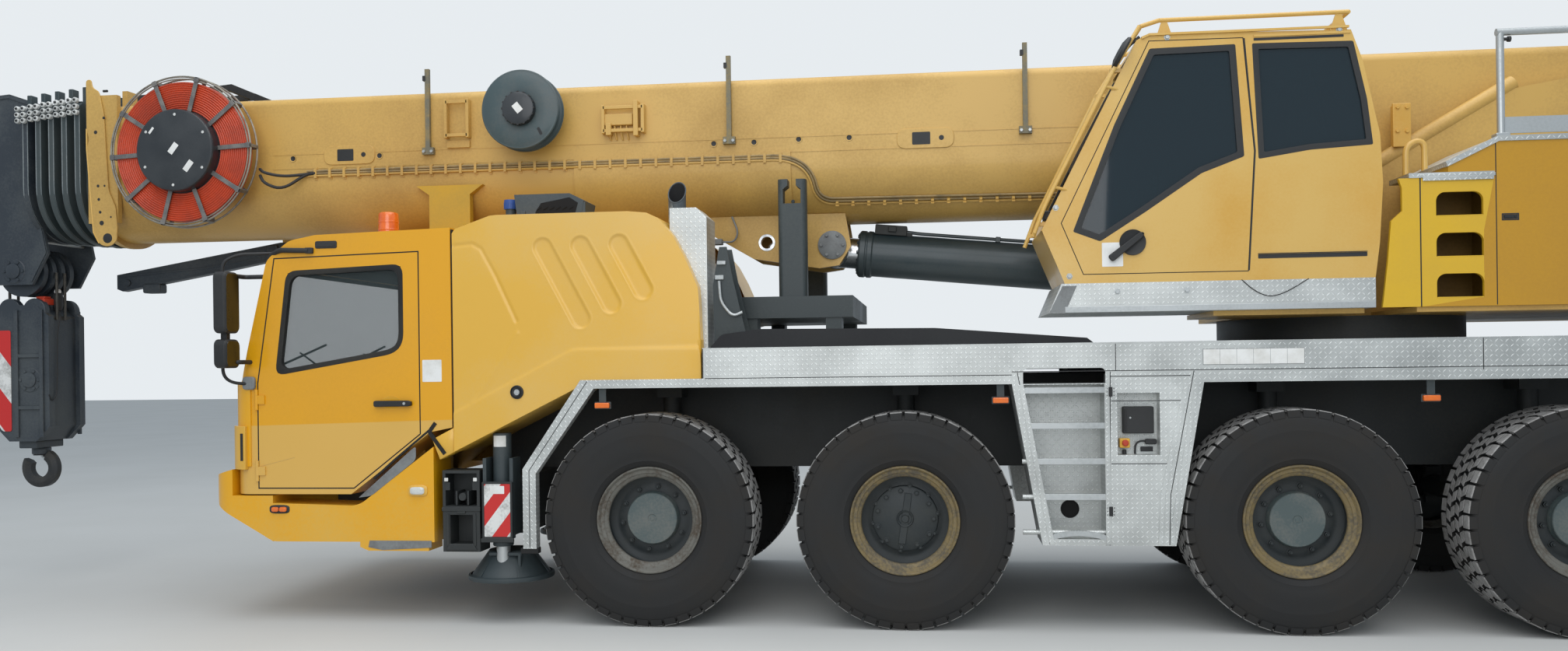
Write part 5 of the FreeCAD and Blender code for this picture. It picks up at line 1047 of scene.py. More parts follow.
# Handle, slide slot, blank sign, drip rail, bolts on the front post.
piece("booth_handle_bowl", "operators_cab", lathe(
    ((0, 0.0), (0.05, -0.003), (0.074, -0.01), (0.08, -0.012), (0.082, -0.006), (0.082, 0.001)), 40,
    at=(3.145, BOOTH_SIDE, 2.468)), black_trim_and_shade)
piece("booth_handle_lever", "operators_cab", moved(spun(joined(prism(
    eased(((-0.15, -0.024), (0.1, -0.018), (0.118, 0.0), (0.1, 0.018), (-0.15, 0.024)), 0.018), -0.034,
    -0.012, rim=0.005),
    lathe(((0, -0.036), (0.013, -0.036), (0.014, -0.03), (0.014, -0.01)), 20, at=(-0.115, 0, 0))), "Y",
    -0.66), 3.12, BOOTH_SIDE, 2.455), black_trim_and_shade, bevel=0.003)
piece("slide_slot", "operators_cab", joined(
    box((3.905, 4.553), (BOOTH_SIDE - 0.0012, BOOTH_SIDE), (2.348, 2.374), 0.006),
    box((3.905, 4.553), (BOOTH_SIDE - 0.006, BOOTH_SIDE), (2.376, 2.38), 0.0)), black_trim_and_shade)
piece("booth_sign", "operators_cab",
    box((2.955, 3.085), (BOOTH_SIDE - 0.0012, BOOTH_SIDE), (2.318, 2.47), 0.006), sign_white)
piece("drip_rail", "operators_cab", joined(
    strip(((3.215, 3.752), (3.262, 3.772), (4.46, 3.768)), 0.014, BOOTH_SIDE - 0.012, BOOTH_SIDE + 0.004),
    box((3.895, 4.47), (BOOTH_SIDE - 0.0065, BOOTH_SIDE), (3.728, 3.742), 0.0)), booth_enamel)
piece("drip_shadow", "operators_cab",
    box((3.895, 4.43), (BOOTH_SIDE - 0.0012, BOOTH_SIDE), (3.706, 3.722), 0.0), black_trim_and_shade)
corner_bolt = lathe(
    ((0, -0.009), (0.012, -0.009), (0.014, -0.006), (0.014, -0.001), (0.02, -0.001), (0.021, 0.0)), 6)
piece("corner_bolts", "operators_cab", copies(corner_bolt,
    [(x, BOOTH_SIDE, z) for x, z in ((2.752, 2.262), (2.672, 2.7), (3.372, 3.752), (4.405, 3.752))]),
    galvanised)
piece("rear_seam", "operators_cab", joined(
    strip(((3.896, 3.02), (3.866, 3.372), (3.838, 3.725)), 0.008, BOOTH_SIDE - 0.0006, BOOTH_SIDE + 0.001),
    strip(((3.851, 2.276), (3.896, 3.02)), 0.008, BOOTH_SIDE - 0.0006, BOOTH_SIDE + 0.001)), black_trim_and_shade)

# Front of the operator's cab: black screen surround with its wiper, a grab tube outside the post, a
# round mirror on the top corner and a wiper on the roof window.
front_path = eased(((3.205, -1.33, 3.83), (3.04, -1.345, 3.56), (2.605, -1.345, 2.72), (2.535, -1.34, 2.54)),
    0.06, closed=False)
piece("front_grab_tube", "operators_cab", joined(tube(front_path, 0.013),
    *[tube(((x, -1.345, z), (x + 0.045, -1.335, z - 0.01), (x + 0.09, -1.318, z - 0.02)), 0.01) for x,
        z in ((2.66, 2.83), (2.985, 3.455))]), booth_enamel)
piece("screen_wiper", "operators_cab", joined(
    tube(((2.655, -0.95, 2.7), (2.83, -1.18, 3.06), (3.02, -1.23, 3.42)), 0.01),
    tube(((2.77, -1.26, 2.93), (2.88, -1.262, 3.15), (3.06, -1.262, 3.49)), 0.012),
    box((2.6, 2.66), (-1.27, -1.19), (2.63, 2.69), 0.012, 0.004)), black_trim_and_shade)
piece("roof_wiper", "operators_cab", joined(box((3.66, 3.72), (-1.14, -1.08), (3.776, 3.83), 0.01, 0.004),
    tube(((3.69, -1.11, 3.828), (3.86, -1.11, 3.812), (4.06, -1.105, 3.8)), 0.008),
    tube(((3.82, -1.112, 3.798), (4.0, -1.11, 3.795), (4.2, -1.11, 3.792)), 0.01)), black_trim_and_shade)
mirror_shape = lathe(
    ((0, -0.03), (0.06, -0.028), (0.104, -0.014), (0.112, 0.0), (0.108, 0.01), (0.1, 0.012), (0, 0.01)), 48,
    "X")
piece("booth_mirror", "operators_cab", moved(spun(mirror_shape, "Y", 0.5), 3.095, -1.315, 3.665), black_trim_and_shade)
piece("booth_mirror_arm", "operators_cab",
    tube(((3.1, -1.31, 3.668), (3.15, -1.312, 3.72), (3.205, -1.315, 3.765)), 0.01), black_trim_and_shade)
for part, shape in (("seat", cushion((3.74, -0.95, 2.775), (0.265, 0.245, 0.085))),
        ("back", cushion((4.06, -0.95, 3.06), (0.095, 0.24, 0.375), lean=0.17)),
        ("headrest", cushion((4.15, -0.95, 3.48), (0.06, 0.15, 0.1), lean=0.17, power=0.6))):
    piece(f"operator_{part}_pad", "operators_cab", shape, cloth)
consoles = [joined(box((3.38, 3.78), (y - 0.06, y + 0.06), (2.7, 2.8), 0.02, 0.006),
    tube(((3.43, y, 2.79), (3.42, y, 2.87), (3.41, y, 2.93)), 0.012),
    cushion((3.408, y, 2.95), (0.026, 0.026, 0.036), power=0.8)) for y in (-1.225, -0.675)]
piece("consoles", "operators_cab", joined(*consoles), black_trim_and_shade)
piece("console_screen", "operators_cab", moved(
    spun(box((-0.012, 0.012), (-0.14, 0.14), (-0.09, 0.09), 0.01, 0.004), "Y", -0.3), 2.96, -1.08, 2.78),
    black_trim_and_shade)
piece("console_screen_stem", "operators_cab",
    tube(((2.98, -1.08, 2.7), (2.99, -1.08, 2.5), (3.0, -1.08, 2.25)), 0.018), black_trim_and_shade)

# Platform under it: brighter folded lip, a dark gusset at its front, two bolts and a thin wire that
# loops down.
PLATFORM = -1.345
piece("platform_lip", "superstructure",
    box((2.72, 4.594), (PLATFORM - 0.004, PLATFORM + 0.002), (2.03, 2.068), 0.0), galvanised,
    slot="checker_plate", bevel=0.002)
piece("platform_gusset", "superstructure",
    prism(((2.622, 2.032), (2.72, 2.032), (2.795, 2.2), (2.706, 2.2)), PLATFORM - 0.003, PLATFORM + 0.001),
    grey_plastic)
piece("platform_bolts", "superstructure", copies(corner_bolt, [(x, PLATFORM, 2.158) for x in (3.045, 3.47)]),
    galvanised)
loop = eased(((3.8, -1.349, 2.218), (3.87, -1.352, 2.15), (3.96, -1.353, 2.105), (4.06, -1.352, 2.13),
    (4.2, -1.349, 2.216)), 0.08, closed=False)
piece("platform_wire", "superstructure", tube(loop, 0.0028, 6), hose_black)
# Engine cover: a moulded shell of two raised sides and a low saddle between them under the boom.
# Its sides carry three pressed slots, a crease at the front and a step along the lower edge; all of
# it in one pressing.
SLOTS = ((-0.7, 2.53, 0.545), (-0.44, 2.535, 0.44), (-0.178, 2.54, 0.345))
CREASE = ((-1.32, 2.556), (-1.19, 2.566), (-1.128, 2.53), (-1.03, 2.35), (-0.886, 2.04))
FOLD = ((-0.884, 1.96), (-0.968, 1.823), (-1.152, 1.546), (-1.2, 1.5))
STEP_LINE = ((-1.34, 1.424), (-0.52, 1.838), (-0.47, 1.848), (0.39, 1.85))
HEM = 0.0025
COVER_TOP = ((-1.333, 2.64), (-1.31, 2.672), (-1.07, 2.754), (-1.02, 2.758), (-0.12, 2.758), (0.01, 2.745),
    (0.095, 2.705), (0.19, 2.59), (0.27, 2.44), (0.355, 2.24), (0.3615, 2.12), (0.368, 1.9))


def away(x, z, path):
    """Distance of every place from a path: from a point of a run A + t (B - A), with t held between
    0 and 1.
    """
    spots = np.array(path, float)
    nearest = np.full(np.shape(x), 9.0)
    for (ax, az), (bx, bz) in zip(spots[:-1], spots[1:]):
        t = np.clip(((x - ax) * (bx - ax) + (z - az) * (bz - az)) / ((bx - ax) ** 2 + (bz - az) ** 2), 0, 1)
        nearest = np.minimum(nearest, np.hypot(x - ax - t * (bx - ax), z - az - t * (bz - az)))
    return nearest


def pressed_side():
    """A sheet in X and Z: y = -1.340 + slots - crease + fold - step, each a soft ramp on its
    distance d; edges roll in.
    """
    u, v = np.linspace(0, 1, 230), np.linspace(0, 1, 170)
    x = -1.3315 + 1.7 * u[:, None] + 0 * v
    top = np.interp(x, *np.array(COVER_TOP).T) - 0.003
    foot = np.interp(x, (-1.435, -0.46, 0.38), (1.112, 1.5925, 1.5925)) + 0.003
    z = foot + (top - foot) * v
    press = np.zeros(x.shape)
    for slot_x, slot_z, run in SLOTS:
        d = away(x, z, ((slot_x, slot_z), (slot_x + 0.47 * run, slot_z - 0.883 * run))) - 0.062
        press += 0.0105 / (1 + np.exp(d / 0.0035)) - 0.002 * np.exp(-((d - 0.006) / 0.008) ** 2)
    press += 0.006 * np.exp(-(away(x, z, CREASE) / 0.01) ** 2) - 0.003 * np.exp(
        -(away(x, z, FOLD) / 0.014) ** 2)
    press -= 0.007 / (1 + np.exp((z - np.interp(x, *np.array(STEP_LINE).T)) / 0.004))
    y = -1.3395 + press
    x, y, z = (np.pad(values, 2, mode="edge") for values in (x, y, z))
    hem = np.zeros(x.shape)
    for cut, depth in ((2, 0.008), (1, 0.64)):
        ring = np.ones(x.shape, bool)
        ring[cut:-cut, cut:-cut] = False
        hem[ring] = depth
    x[:2], x[-2:] = x[:2] - HEM, x[-2:] + HEM
    z[:, :2], z[:, -2:] = z[:, :2] - HEM, z[:, -2:] + HEM
    return grid(np.stack((x, y + hem, z), -1))


cover_enamel = finish("cover_enamel", (0.715, 0.405, 0.045), (0.69, 0.44, 0.12), 0.34, coat=0.3, patches=0.9,
    speckle=0.15, slot="yellow_paint")
lappet = prism(((-1.335, 1.328), (-1.335, 1.163), (-1.435, 1.113), (-1.488, 1.25)), -1.3395, -1.2, rim=0.003)
saddle = prism(eased(((-1.335, 2.48), (-1.335, 2.53), (-1.29, 2.56), (0.13, 2.56), (0.2, 2.52), (0.2, 2.48),
    (0.12, 2.53), (-1.29, 2.53), (-1.305, 2.48)), 0.012), -0.705, 0.705)
pair("cover_side", "carrier", joined(pressed_side(), lappet), cover_enamel, sharp=50,
    stands_for=("engine_cover",))
piece("cover_saddle", "carrier", saddle, cover_enamel, stands_for=("engine_cover",))
pair("cover_socket", "carrier", lathe(((0.02, -0.01), (0.028, -0.012), (0.03, -0.004), (0.036, -0.004),
    (0.04, -0.01), (0.045, -0.008), (0.047, 0.004)), 32, at=(-0.886, -1.3465, 1.564)), black_trim_and_shade)
pair("cover_socket_key", "carrier", moved(joined(
    lathe(((0, -0.004), (0.026, -0.005), (0.029, -0.002), (0.029, 0.004)), 28),
    box((-0.016, 0.016), (-0.01, -0.003), (-0.005, 0.005), 0.002)), -0.886, -1.3475, 1.564), galvanised)

# Exhaust column of checker plate, which is rolled aluminium with raised bars, grey with handling
# and brighter on the bars. Its pipe is oblique and dark, its mouth sooty and in painted shade, the
# intake hood beside it has a louvred opening in painted shade, and a filler pipe ends in a blue cap.
def checker(name, cell=0.03):
    """Bars by cells: in each square cell a lozenge lies at 45 degrees, turned the other way in its
    neighbours.
    """
    material = bpy.data.materials.new(name)
    add = nodes_of(material)

    def calc(operation, *values):
        return add("Math", dict(enumerate(values)), operation=operation).outputs[0]

    place = add("TexCoord").outputs["Object"]
    x, y, z = add("SeparateXYZ", {0: place}).outputs
    normal = add("SeparateXYZ", {0: add("NewGeometry").outputs["True Normal"]}).outputs
    flat_x, flat_z = (calc("GREATER_THAN", calc("ABSOLUTE", normal[axis]), 0.6) for axis in (0, 2))
    u, v = (calc("DIVIDE",
        calc("ADD", calc("MULTIPLY", flat, y), calc("MULTIPLY", calc("SUBTRACT", 1, flat), other)), cell)
        for flat, other in ((flat_x, x), (flat_z, z)))
    cells = calc("ABSOLUTE", calc("ADD", calc("FLOOR", u), calc("FLOOR", v)))
    odd = calc("SUBTRACT", calc("MULTIPLY", calc("MODULO", cells, 2), 2), 1)
    a, b = (calc("SUBTRACT", calc("FRACT", calc("ADD", value, 1000)), 0.5) for value in (u, v))
    b = calc("MULTIPLY", b, odd)
    lengthwise = calc("MULTIPLY", calc("ABSOLUTE", calc("ADD", a, b)), 1.25)
    crosswise = calc("MULTIPLY", calc("ABSOLUTE", calc("SUBTRACT", a, b)), 4.5)
    bar = add("MapRange", {"Value": calc("ADD", lengthwise, crosswise), "From Min": 1.0, "From Max": 0.6},
        interpolation_type="SMOOTHSTEP").outputs[0]
    dirt = add("TexNoise", {"Vector": place, "Scale": 4.0, "Detail": 8}).outputs["Fac"]
    tint = add("Mix", {0: calc("MULTIPLY_ADD", bar, 0.5, calc("MULTIPLY", dirt, 0.9)), 6: (0.3, 0.31, 0.3, 1),
        7: (0.8, 0.82, 0.8, 1)}, data_type="RGBA")
    shine = add("MapRange", {"Value": dirt, "To Min": 0.3, "To Max": 0.55})
    bump = add("Bump", {"Height": bar, "Strength": 0.6, "Distance": 0.003})
    surface = add("BsdfPrincipled", {"Base Color": tint.outputs[2], "Roughness": shine.outputs[0],
        "Normal": bump.outputs[0], "Metallic": 0.7})
    add("OutputMaterial", {0: surface.outputs[0]})
    return material


plate = checker("checker_plate")
SLOT_OF[plate.name] = "checker_plate"
cap_blue = finish("cap_blue", (0.03, 0.085, 0.33), (0.05, 0.1, 0.28), 0.45, slot="cab_trim")
hood_grey = finish("hood_grey", (0.045, 0.058, 0.066), (0.085, 0.095, 0.1), 0.5, slot="frame_paint")
soot_and_shade = finish("soot_and_shade", (0.006, 0.006, 0.007), (0.015, 0.014, 0.013), 0.9, slot="frame_paint")
PIPE_AT, PIPE_MOUTH, PIPE_SLOPE = (0.17, -1.1), (0.059, 2.905), 1.3125


def stack_face(x, y, z):
    """Finish 1 on the dark pipe and the hood, 2 on the filler's cap, 3, soot and painted shade, down
    the pipe's mouth, 0 on the column.
    """
    mouth = np.hypot(x - PIPE_AT[0], y - PIPE_AT[1]) < 0.0562
    return np.where(x > 0.0, np.where(z > 2.781, np.where(mouth, 3, 1), 0),
        np.where((x < -0.955) & (z > 2.824), 2, 1))


dress("exhaust_stack", plate, hood_grey, cap_blue, soot_and_shade, which=stack_face)
lip_turn = np.linspace(0, 2 * math.pi, 41)
lip = np.stack((PIPE_AT[0] + PIPE_MOUTH[0] * np.cos(lip_turn), PIPE_AT[1] + PIPE_MOUTH[0] * np.sin(lip_turn),
    PIPE_MOUTH[1] + PIPE_SLOPE * PIPE_MOUTH[0] * np.sin(lip_turn)), -1)
piece("exhaust_lip", "carrier", tube(lip, 0.004, 8), hood_grey)
# The louvred opening and its blades are near black: painted shade in the opening.
piece("hood_louvre", "carrier", joined(prism(((-0.8, 2.79), (-0.76, 2.85), (-0.64, 2.87), (-0.56, 2.885),
    (-0.5, 2.845), (-0.52, 2.775), (-0.8, 2.775)), -1.1815, -1.176, rim=0.001),
    *[spun(box((-0.79 + 0.045 * k, -0.755 + 0.045 * k), (-1.186, -1.178), (2.812, 2.818)), "Y", -0.5,
        (-0.77 + 0.045 * k, 0, 2.815)) for k in range(6)]), soot_and_shade)
piece("hood_brackets", "carrier", joined(box((-0.9, -0.87), (-1.19, -1.18), (2.768, 2.8), 0.004, 0.002),
    box((-0.48, -0.45), (-1.178, -1.17), (2.768, 2.85), 0.004, 0.002)), hood_grey, bevel=0.002)
piece("cap_ribs", "carrier", moved(joined(*[
    spun(box((-0.0485, -0.0455), (-0.004, 0.004), (2.829, 2.872)), "Z", k * math.pi / 9) for k in range(18)]),
    -1.01, -1.08), cap_blue)
# Front outriggers: the beams' end plates carry striped boards in dark frames and white blank
# labels, and a holder for support pads stands ahead of the left one. Its two lamps are white, its
# hinges and latch plain dark steel.
def stripes(name, run, step, first):
    """Dusty white enamel with red bands: red where (x + run z) / step + first, folded to 0..1, is
    over a half.
    """
    def bands(add, place, colour):
        split = add("SeparateXYZ", {0: place}).outputs
        slope = add("Math", {0: split["Z"], 1: run, 2: split["X"]}, operation="MULTIPLY_ADD")
        phase = add("Math", {0: slope.outputs[0], 1: 1 / step, 2: first}, operation="MULTIPLY_ADD")
        fold = add("Math", {0: phase.outputs[0], 1: 1.0}, operation="PINGPONG")
        edge = add("MapRange", {"Value": fold.outputs[0], "From Min": 0.49, "From Max": 0.51})
        return add("Mix", {0: edge.outputs[0], 6: colour, 7: (0.56, 0.02, 0.018, 1)},
            data_type="RGBA").outputs[2]

    return finish(name, (0.72, 0.72, 0.7), (0.4, 0.4, 0.38), 0.4, patches=9, speckle=0.6, over=bands,
        slot="grey_paint")


board_paint = stripes("striped_board", -0.78, 0.105, 0.1)
outrigger_paint = finish("outrigger_paint", (0.034, 0.046, 0.05), (0.07, 0.078, 0.075), 0.5,
    slot="dark_paint")
JACK, FLOAT = (-1.035, -1.235, 0), (-1.035, -1.085, 0)
jack_collar = lathe(((0.05, 0.555), (0.068, 0.552), (0.07, 0.53), (0.066, 0.522), (0.05, 0.522)), 32, "Z",
    JACK, closed=True)
float_rib = prism(((0.06, 0.47), (0.152, 0.47), (0.27, 0.318), (0.27, 0.3), (0.06, 0.3)), -0.006, 0.006)
float_shape = joined(*[moved(spun(float_rib, "Z", k * math.pi / 3), *FLOAT) for k in range(6)],
    lathe(((0.274, 0.318), (0.29, 0.312), (0.293, 0.296), (0.29, 0.284), (0.0, 0.284)), 48, "Z", FLOAT))
strap = joined(box((-1.13, -0.9), (-1.262, -1.238), (0.452, 0.476), 0.006, 0.003),
    *[box((x - 0.01, x + 0.01), (-1.266, -1.246), (0.33, 0.47), 0.004, 0.002) for x in (-1.03, -0.915)])
board_frame = joined(seal(((-1.132, 0.588), (-0.938, 0.588), (-0.938, 0.955), (-1.132, 0.955)), 0.006, 0.008,
    -1.346, 0.012, 0.001, 0.006), box((-1.15, -0.92), (-1.352, -1.338), (0.556, 0.584), 0.008, 0.003))
for tag, at, tall in (("front_left", -1.035, 1.27), ("front_right", -1.275, 1.14), ("rear_left", 8.49, 1.27),
        ("rear_right", 8.73, 1.27)):
    beam, leg = f"outrigger_beam_{tag}", f"outrigger_leg_{tag}"

    def fitted(name, body, shape, paint, slot=None):
        """A fitting drawn on the front left outrigger, carried along to this one and turned to its side."""
        shape = moved(shape, at - JACK[0])
        piece(f"{name}_{tag}", body, shape if tag.endswith("left") else mirrored(shape), paint, slot=slot)

    def rod_face(x, y, z):
        """Finish 1 on the jack's bright rod, 0 on its float."""
        return ((np.hypot(x - at, np.abs(y) + JACK[1]) < 0.0475) & (z > 0.475)).astype(int)

    dress(beam, outrigger_paint)
    dress(leg, outrigger_paint, galvanised, which=rod_face)
    fitted("board_frame", beam, board_frame, chassis_black)
    fitted("board", beam, box((-1.128, -0.942), (-1.3435, -1.339), (0.592, 0.951), 0.01, 0.001), board_paint)
    fitted("board_label", beam, box((-1.085, -0.985), (-1.3445, -1.343), (0.882, 0.935), 0.004), sign_white)
    a, z = np.meshgrid(np.linspace(-0.75, 0.75, 12) - math.pi / 2, (tall - 0.075, tall), indexing="ij")
    fitted("jack_label", beam,
        grid(np.stack((JACK[0] + 0.0628 * np.cos(a), JACK[1] + 0.0628 * np.sin(a), z), -1)), sign_white)
    lid = lathe(((0.0, tall + 0.013), (0.03, tall + 0.0155), (0.058, tall + 0.012), (0.0622, tall + 0.004),
        (0.062, tall)), 32, "Z", JACK)
    fitted("jack_collar", beam, joined(jack_collar, lid), outrigger_paint)
    fitted("float_ribs", leg, float_shape, outrigger_paint)
    fitted("float_strap", leg, strap, outrigger_paint)

holder = joined(*[box((-1.402 + 0.19 * k, -1.368 + 0.19 * k), (-1.336, -1.33), (0.905, 0.96), 0.006, 0.002)
    for k in (0, 1)], box((-1.425, -1.155), (-1.342, -1.33), (0.764, 0.792), 0.004, 0.002),
    box((-1.32, -1.26), (-1.344, -1.33), (0.75, 0.764), 0.004, 0.002),
    *[box((-1.33 + 0.08 * k, -1.318 + 0.08 * k), (-1.332, -1.2), (0.805, 0.9), 0.003, 0.001) for k in (0, 1)],
    moved(lathe(((0, -0.1), (0.024, -0.102), (0.028, -0.096), (0.03, 0.0)), 24), -1.284, -1.23, 0.86),
    prism(((-1.4, 0.5), (-1.18, 0.5), (-1.205, 0.545), (-1.375, 0.545)), -1.345, -1.325, rim=0.004),
    *[box((x - 0.008, x + 0.008), (-1.341, -1.33), (0.53, 0.75), 0.004, 0.002) for x in (-1.385, -1.195)])
piece("pad_holder_fittings", "carrier", holder, chassis_black, bevel=0.002)
piece("pad_holder_lamps", "carrier",
    joined(*[box((x, x + 0.026), (-1.345, -1.338), (0.966, 0.99), 0.005, 0.002) for x in (-1.404, -1.202)]),
    sign_white)
pair("step_ledge", "carrier", prism(
    ((-1.94, 0.5645), (-1.5, 0.5645), (-1.5, 0.518), (-1.85, 0.5), (-1.95, 0.52)), -1.344, -1.338, rim=0.001),
    grey_plastic)

# Side bands, arch strips and lockers of checker plate: seams between the sheets, hinges, the
# ladder's box treads and serrated foot, and the service recess with its control box, stop switch
# and tap. Amber marker lamps hang below.
SKIN = -1.3756
dress("deck_plates", plate)
reel_red = finish("red_hose", (0.52, 0.035, 0.01), (0.4, 0.05, 0.02), 0.45, slot="hose_rubber")


def seam(*paths, width=0.005):
    """Dark joints along paths in X and Z, on the deck's side."""
    return joined(*[strip(path, width, SKIN, SKIN + 0.0008) for path in paths])


pair("plate_seams", "carrier", seam(((2.38, 1.6605), (8.95, 1.6605)), ((0.4, 1.6405), (2.38, 1.6405)),
    ((3.024, 1.6605), (3.024, 1.83)), ((0.388, 1.642), (0.388, 1.834)), ((5.2, 1.642), (5.2, 1.834)),
    ((7.4, 1.642), (7.4, 1.834)), ((-0.8, 0.53), (-0.8, 1.04), (-0.395, 1.63)),
    ((2.415, 1.655), (2.588, 0.7), (2.605, 0.566)), ((2.99, 1.655), (2.976, 0.562)),
    ((3.5, 1.655), (3.35, 0.88), (3.34, 0.566)), ((2.995, 1.47), (3.43, 1.47)),
    ((2.99, 1.075), (3.33, 1.075)), ((2.99, 1.625), (3.478, 1.625))), black_trim_and_shade)
pair("frame_strips", "carrier", joined(
    strip(((2.436, 1.578), (2.6085, 0.62), (2.622, 0.566)), 0.032, -1.3785, -1.3745),
    box((2.952, 2.984), (-1.3785, -1.3745), (0.566, 1.578)),
    strip(((3.456, 1.578), (3.302, 0.88), (3.286, 0.566)), 0.03, -1.3785, -1.3745),
    strip(((3.52, 1.578), (3.366, 0.7), (3.36, 0.566)), 0.026, -1.3785, -1.3745)), plate, bevel=0.001)
treads = [box((front, 2.957), (-1.3765, -1.318), (z - 0.019, z + 0.019), 0.003, 0.002) for front,
    z in ((2.45, 1.54), (2.488, 1.315), (2.528, 1.09), (2.568, 0.865))]
foot_x = np.linspace(2.61, 2.957, 40)
foot_z = 0.64 - 0.03 * ((foot_x - 2.783) / 0.174) ** 2
teeth_z = foot_z + 0.012 + 0.004 * (np.arange(40) % 2)
serrated = np.concatenate((np.stack((foot_x, foot_z - 0.02), -1), np.stack((foot_x, teeth_z), -1)[::-1]))
pair("ladder_treads", "carrier", joined(*treads, prism(serrated, -1.3765, -1.33)), galvanised,
    slot="checker_plate")
# The port's opening is a near-black dish set deep in the deck: painted shade.
pair("ladder_port", "carrier", lathe(
    ((0, -0.001), (0.05, -0.001), (0.053, -0.008), (0.058, -0.008), (0.06, 0.0)), 32,
    at=(2.76, -1.1155, 0.76)), soot_and_shade, slot="cab_trim")
hinge = joined(box((-0.012, 0.012), (-0.006, 0.0), (-0.03, 0.03), 0.003, 0.001),
    box((-0.003, 0.003), (-0.01, 0.0), (-0.028, 0.028), 0.001, 0.001),
    *[moved(lathe(((0, -0.004), (0.003, -0.004), (0.0035, 0.0)), 8), x, 0, z) for x in (-0.021, 0.021)
        for z in (-0.022, 0.0, 0.022)])
pair("locker_hinges", "carrier", copies(hinge, [(x, SKIN, z) for x, z in ((2.99, 1.528), (2.984, 0.776))]),
    black_trim_and_shade)
pair("control_box", "carrier", joined(box((3.072, 3.262), (-1.33, -1.276), (1.262, 1.432), 0.01, 0.004),
    box((3.082, 3.09), (-1.34, -1.325), (1.28, 1.414), 0.002)), black_trim_and_shade, bevel=0.003)
pair("control_box_lock", "carrier",
    moved(lathe(((0, -0.004), (0.006, -0.004), (0.007, 0.0)), 16), 3.116, -1.33, 1.362), galvanised)
pair("stop_switch_box", "carrier", box((3.048, 3.112), (-1.34, -1.276), (1.172, 1.232), 0.008, 0.004), amber,
    bevel=0.003)
pair("stop_switch_button", "carrier", moved(
    lathe(((0, -0.028), (0.014, -0.027), (0.02, -0.022), (0.021, -0.012), (0.012, -0.008), (0.012, 0.0)), 28),
    3.081, -1.34, 1.204), reel_red, slot="cab_trim")
pair("recess_tap", "carrier", joined(
    pipe(((3.15, -1.29, 1.132), (3.15, -1.3, 1.196), (3.185, -1.3, 1.216), (3.235, -1.3, 1.21)), 0.03, 0.006),
    box((3.21, 3.282), (-1.312, -1.288), (1.192, 1.226), 0.012, 0.004),
    moved(lathe(((0, 1.132), (0.014, 1.132), (0.012, 1.16), (0, 1.162)), 16, "Z"), 3.081, -1.31),
    box((3.185, 3.262), (-1.282, -1.276), (1.145, 1.176), 0.004)), black_trim_and_shade, bevel=0.002)
pair("band_sign", "carrier", box((3.556, 4.16), (SKIN - 0.001, SKIN + 0.0006), (1.692, 1.788), 0.004),
    sign_white)
pair("band_sign_lines", "carrier", joined(*[
    box((3.656 + 0.1005 * k, 3.6575 + 0.1005 * k), (SKIN - 0.0014, SKIN), (1.694, 1.786)) for k in range(5)],
    seal(((3.556, 1.692), (4.16, 1.692), (4.16, 1.788), (3.556, 1.788)), 0.001, 0.0015, SKIN - 0.0014, 0.001,
        0, 0)), grey_plastic)
for tag, x, z in (("1", -0.3, 1.47), ("2", 2.31, 1.48), ("3", 4.91, 1.47), ("4", 8.9, 1.47)):
    pair(f"marker_{tag}", "carrier",
        box((x - 0.05, x + 0.05), (-1.362, -1.334), (z - 0.018, z + 0.018), 0.008, 0.004), lens_amber,
        bevel=0.003)
    pair(f"marker_bracket_{tag}", "carrier", joined(
        box((x - 0.024, x + 0.024), (-1.34, -1.332), (z, 1.6), 0.0, 0.001),
        box((x - 0.056, x + 0.056), (-1.336, -1.33), (z - 0.024, z + 0.024), 0.008, 0.001)), outrigger_paint,
        slot="frame_paint")
pair("strip_foot", "carrier", box((-0.865, -0.745), (-1.372, -1.31), (0.486, 0.524), 0.006, 0.003), rubber)
# Machinery houses: amber sheet steel round the superstructure, with a brighter step panel ahead of
# them whose three openings have rounded tops and painted shade inside, a bolted tread, a sunk latch
# and a checker-plate edge to the roof.
house_amber = finish("house_enamel", (0.5, 0.255, 0.01), (0.44, 0.22, 0.012), 0.36, coat=0.2, patches=0.8)
step_yellow = finish("step_enamel", (0.665, 0.405, 0.016), (0.6, 0.36, 0.022), 0.36, coat=0.2, patches=1.5,
    speckle=0.2, slot="yellow_paint")
painted_step_shade = finish("step_opening_painted_shade", (0.19, 0.1, 0.012), (0.14, 0.078, 0.012), 0.55, patches=3)
HOUSE_FRONT = 5.3


def house_face(x, y, z):
    """Finish 1 on the step panel's skin, 2, painted shade, inside its openings, 0 on the houses."""
    panel = (x < HOUSE_FRONT - 0.004) & (y < -1.31) & (z < 2.835)
    inside = (x < HOUSE_FRONT) & (y < -1.0) & (z < 2.83)
    return np.where(panel, 1, np.where(inside, 2, 0))


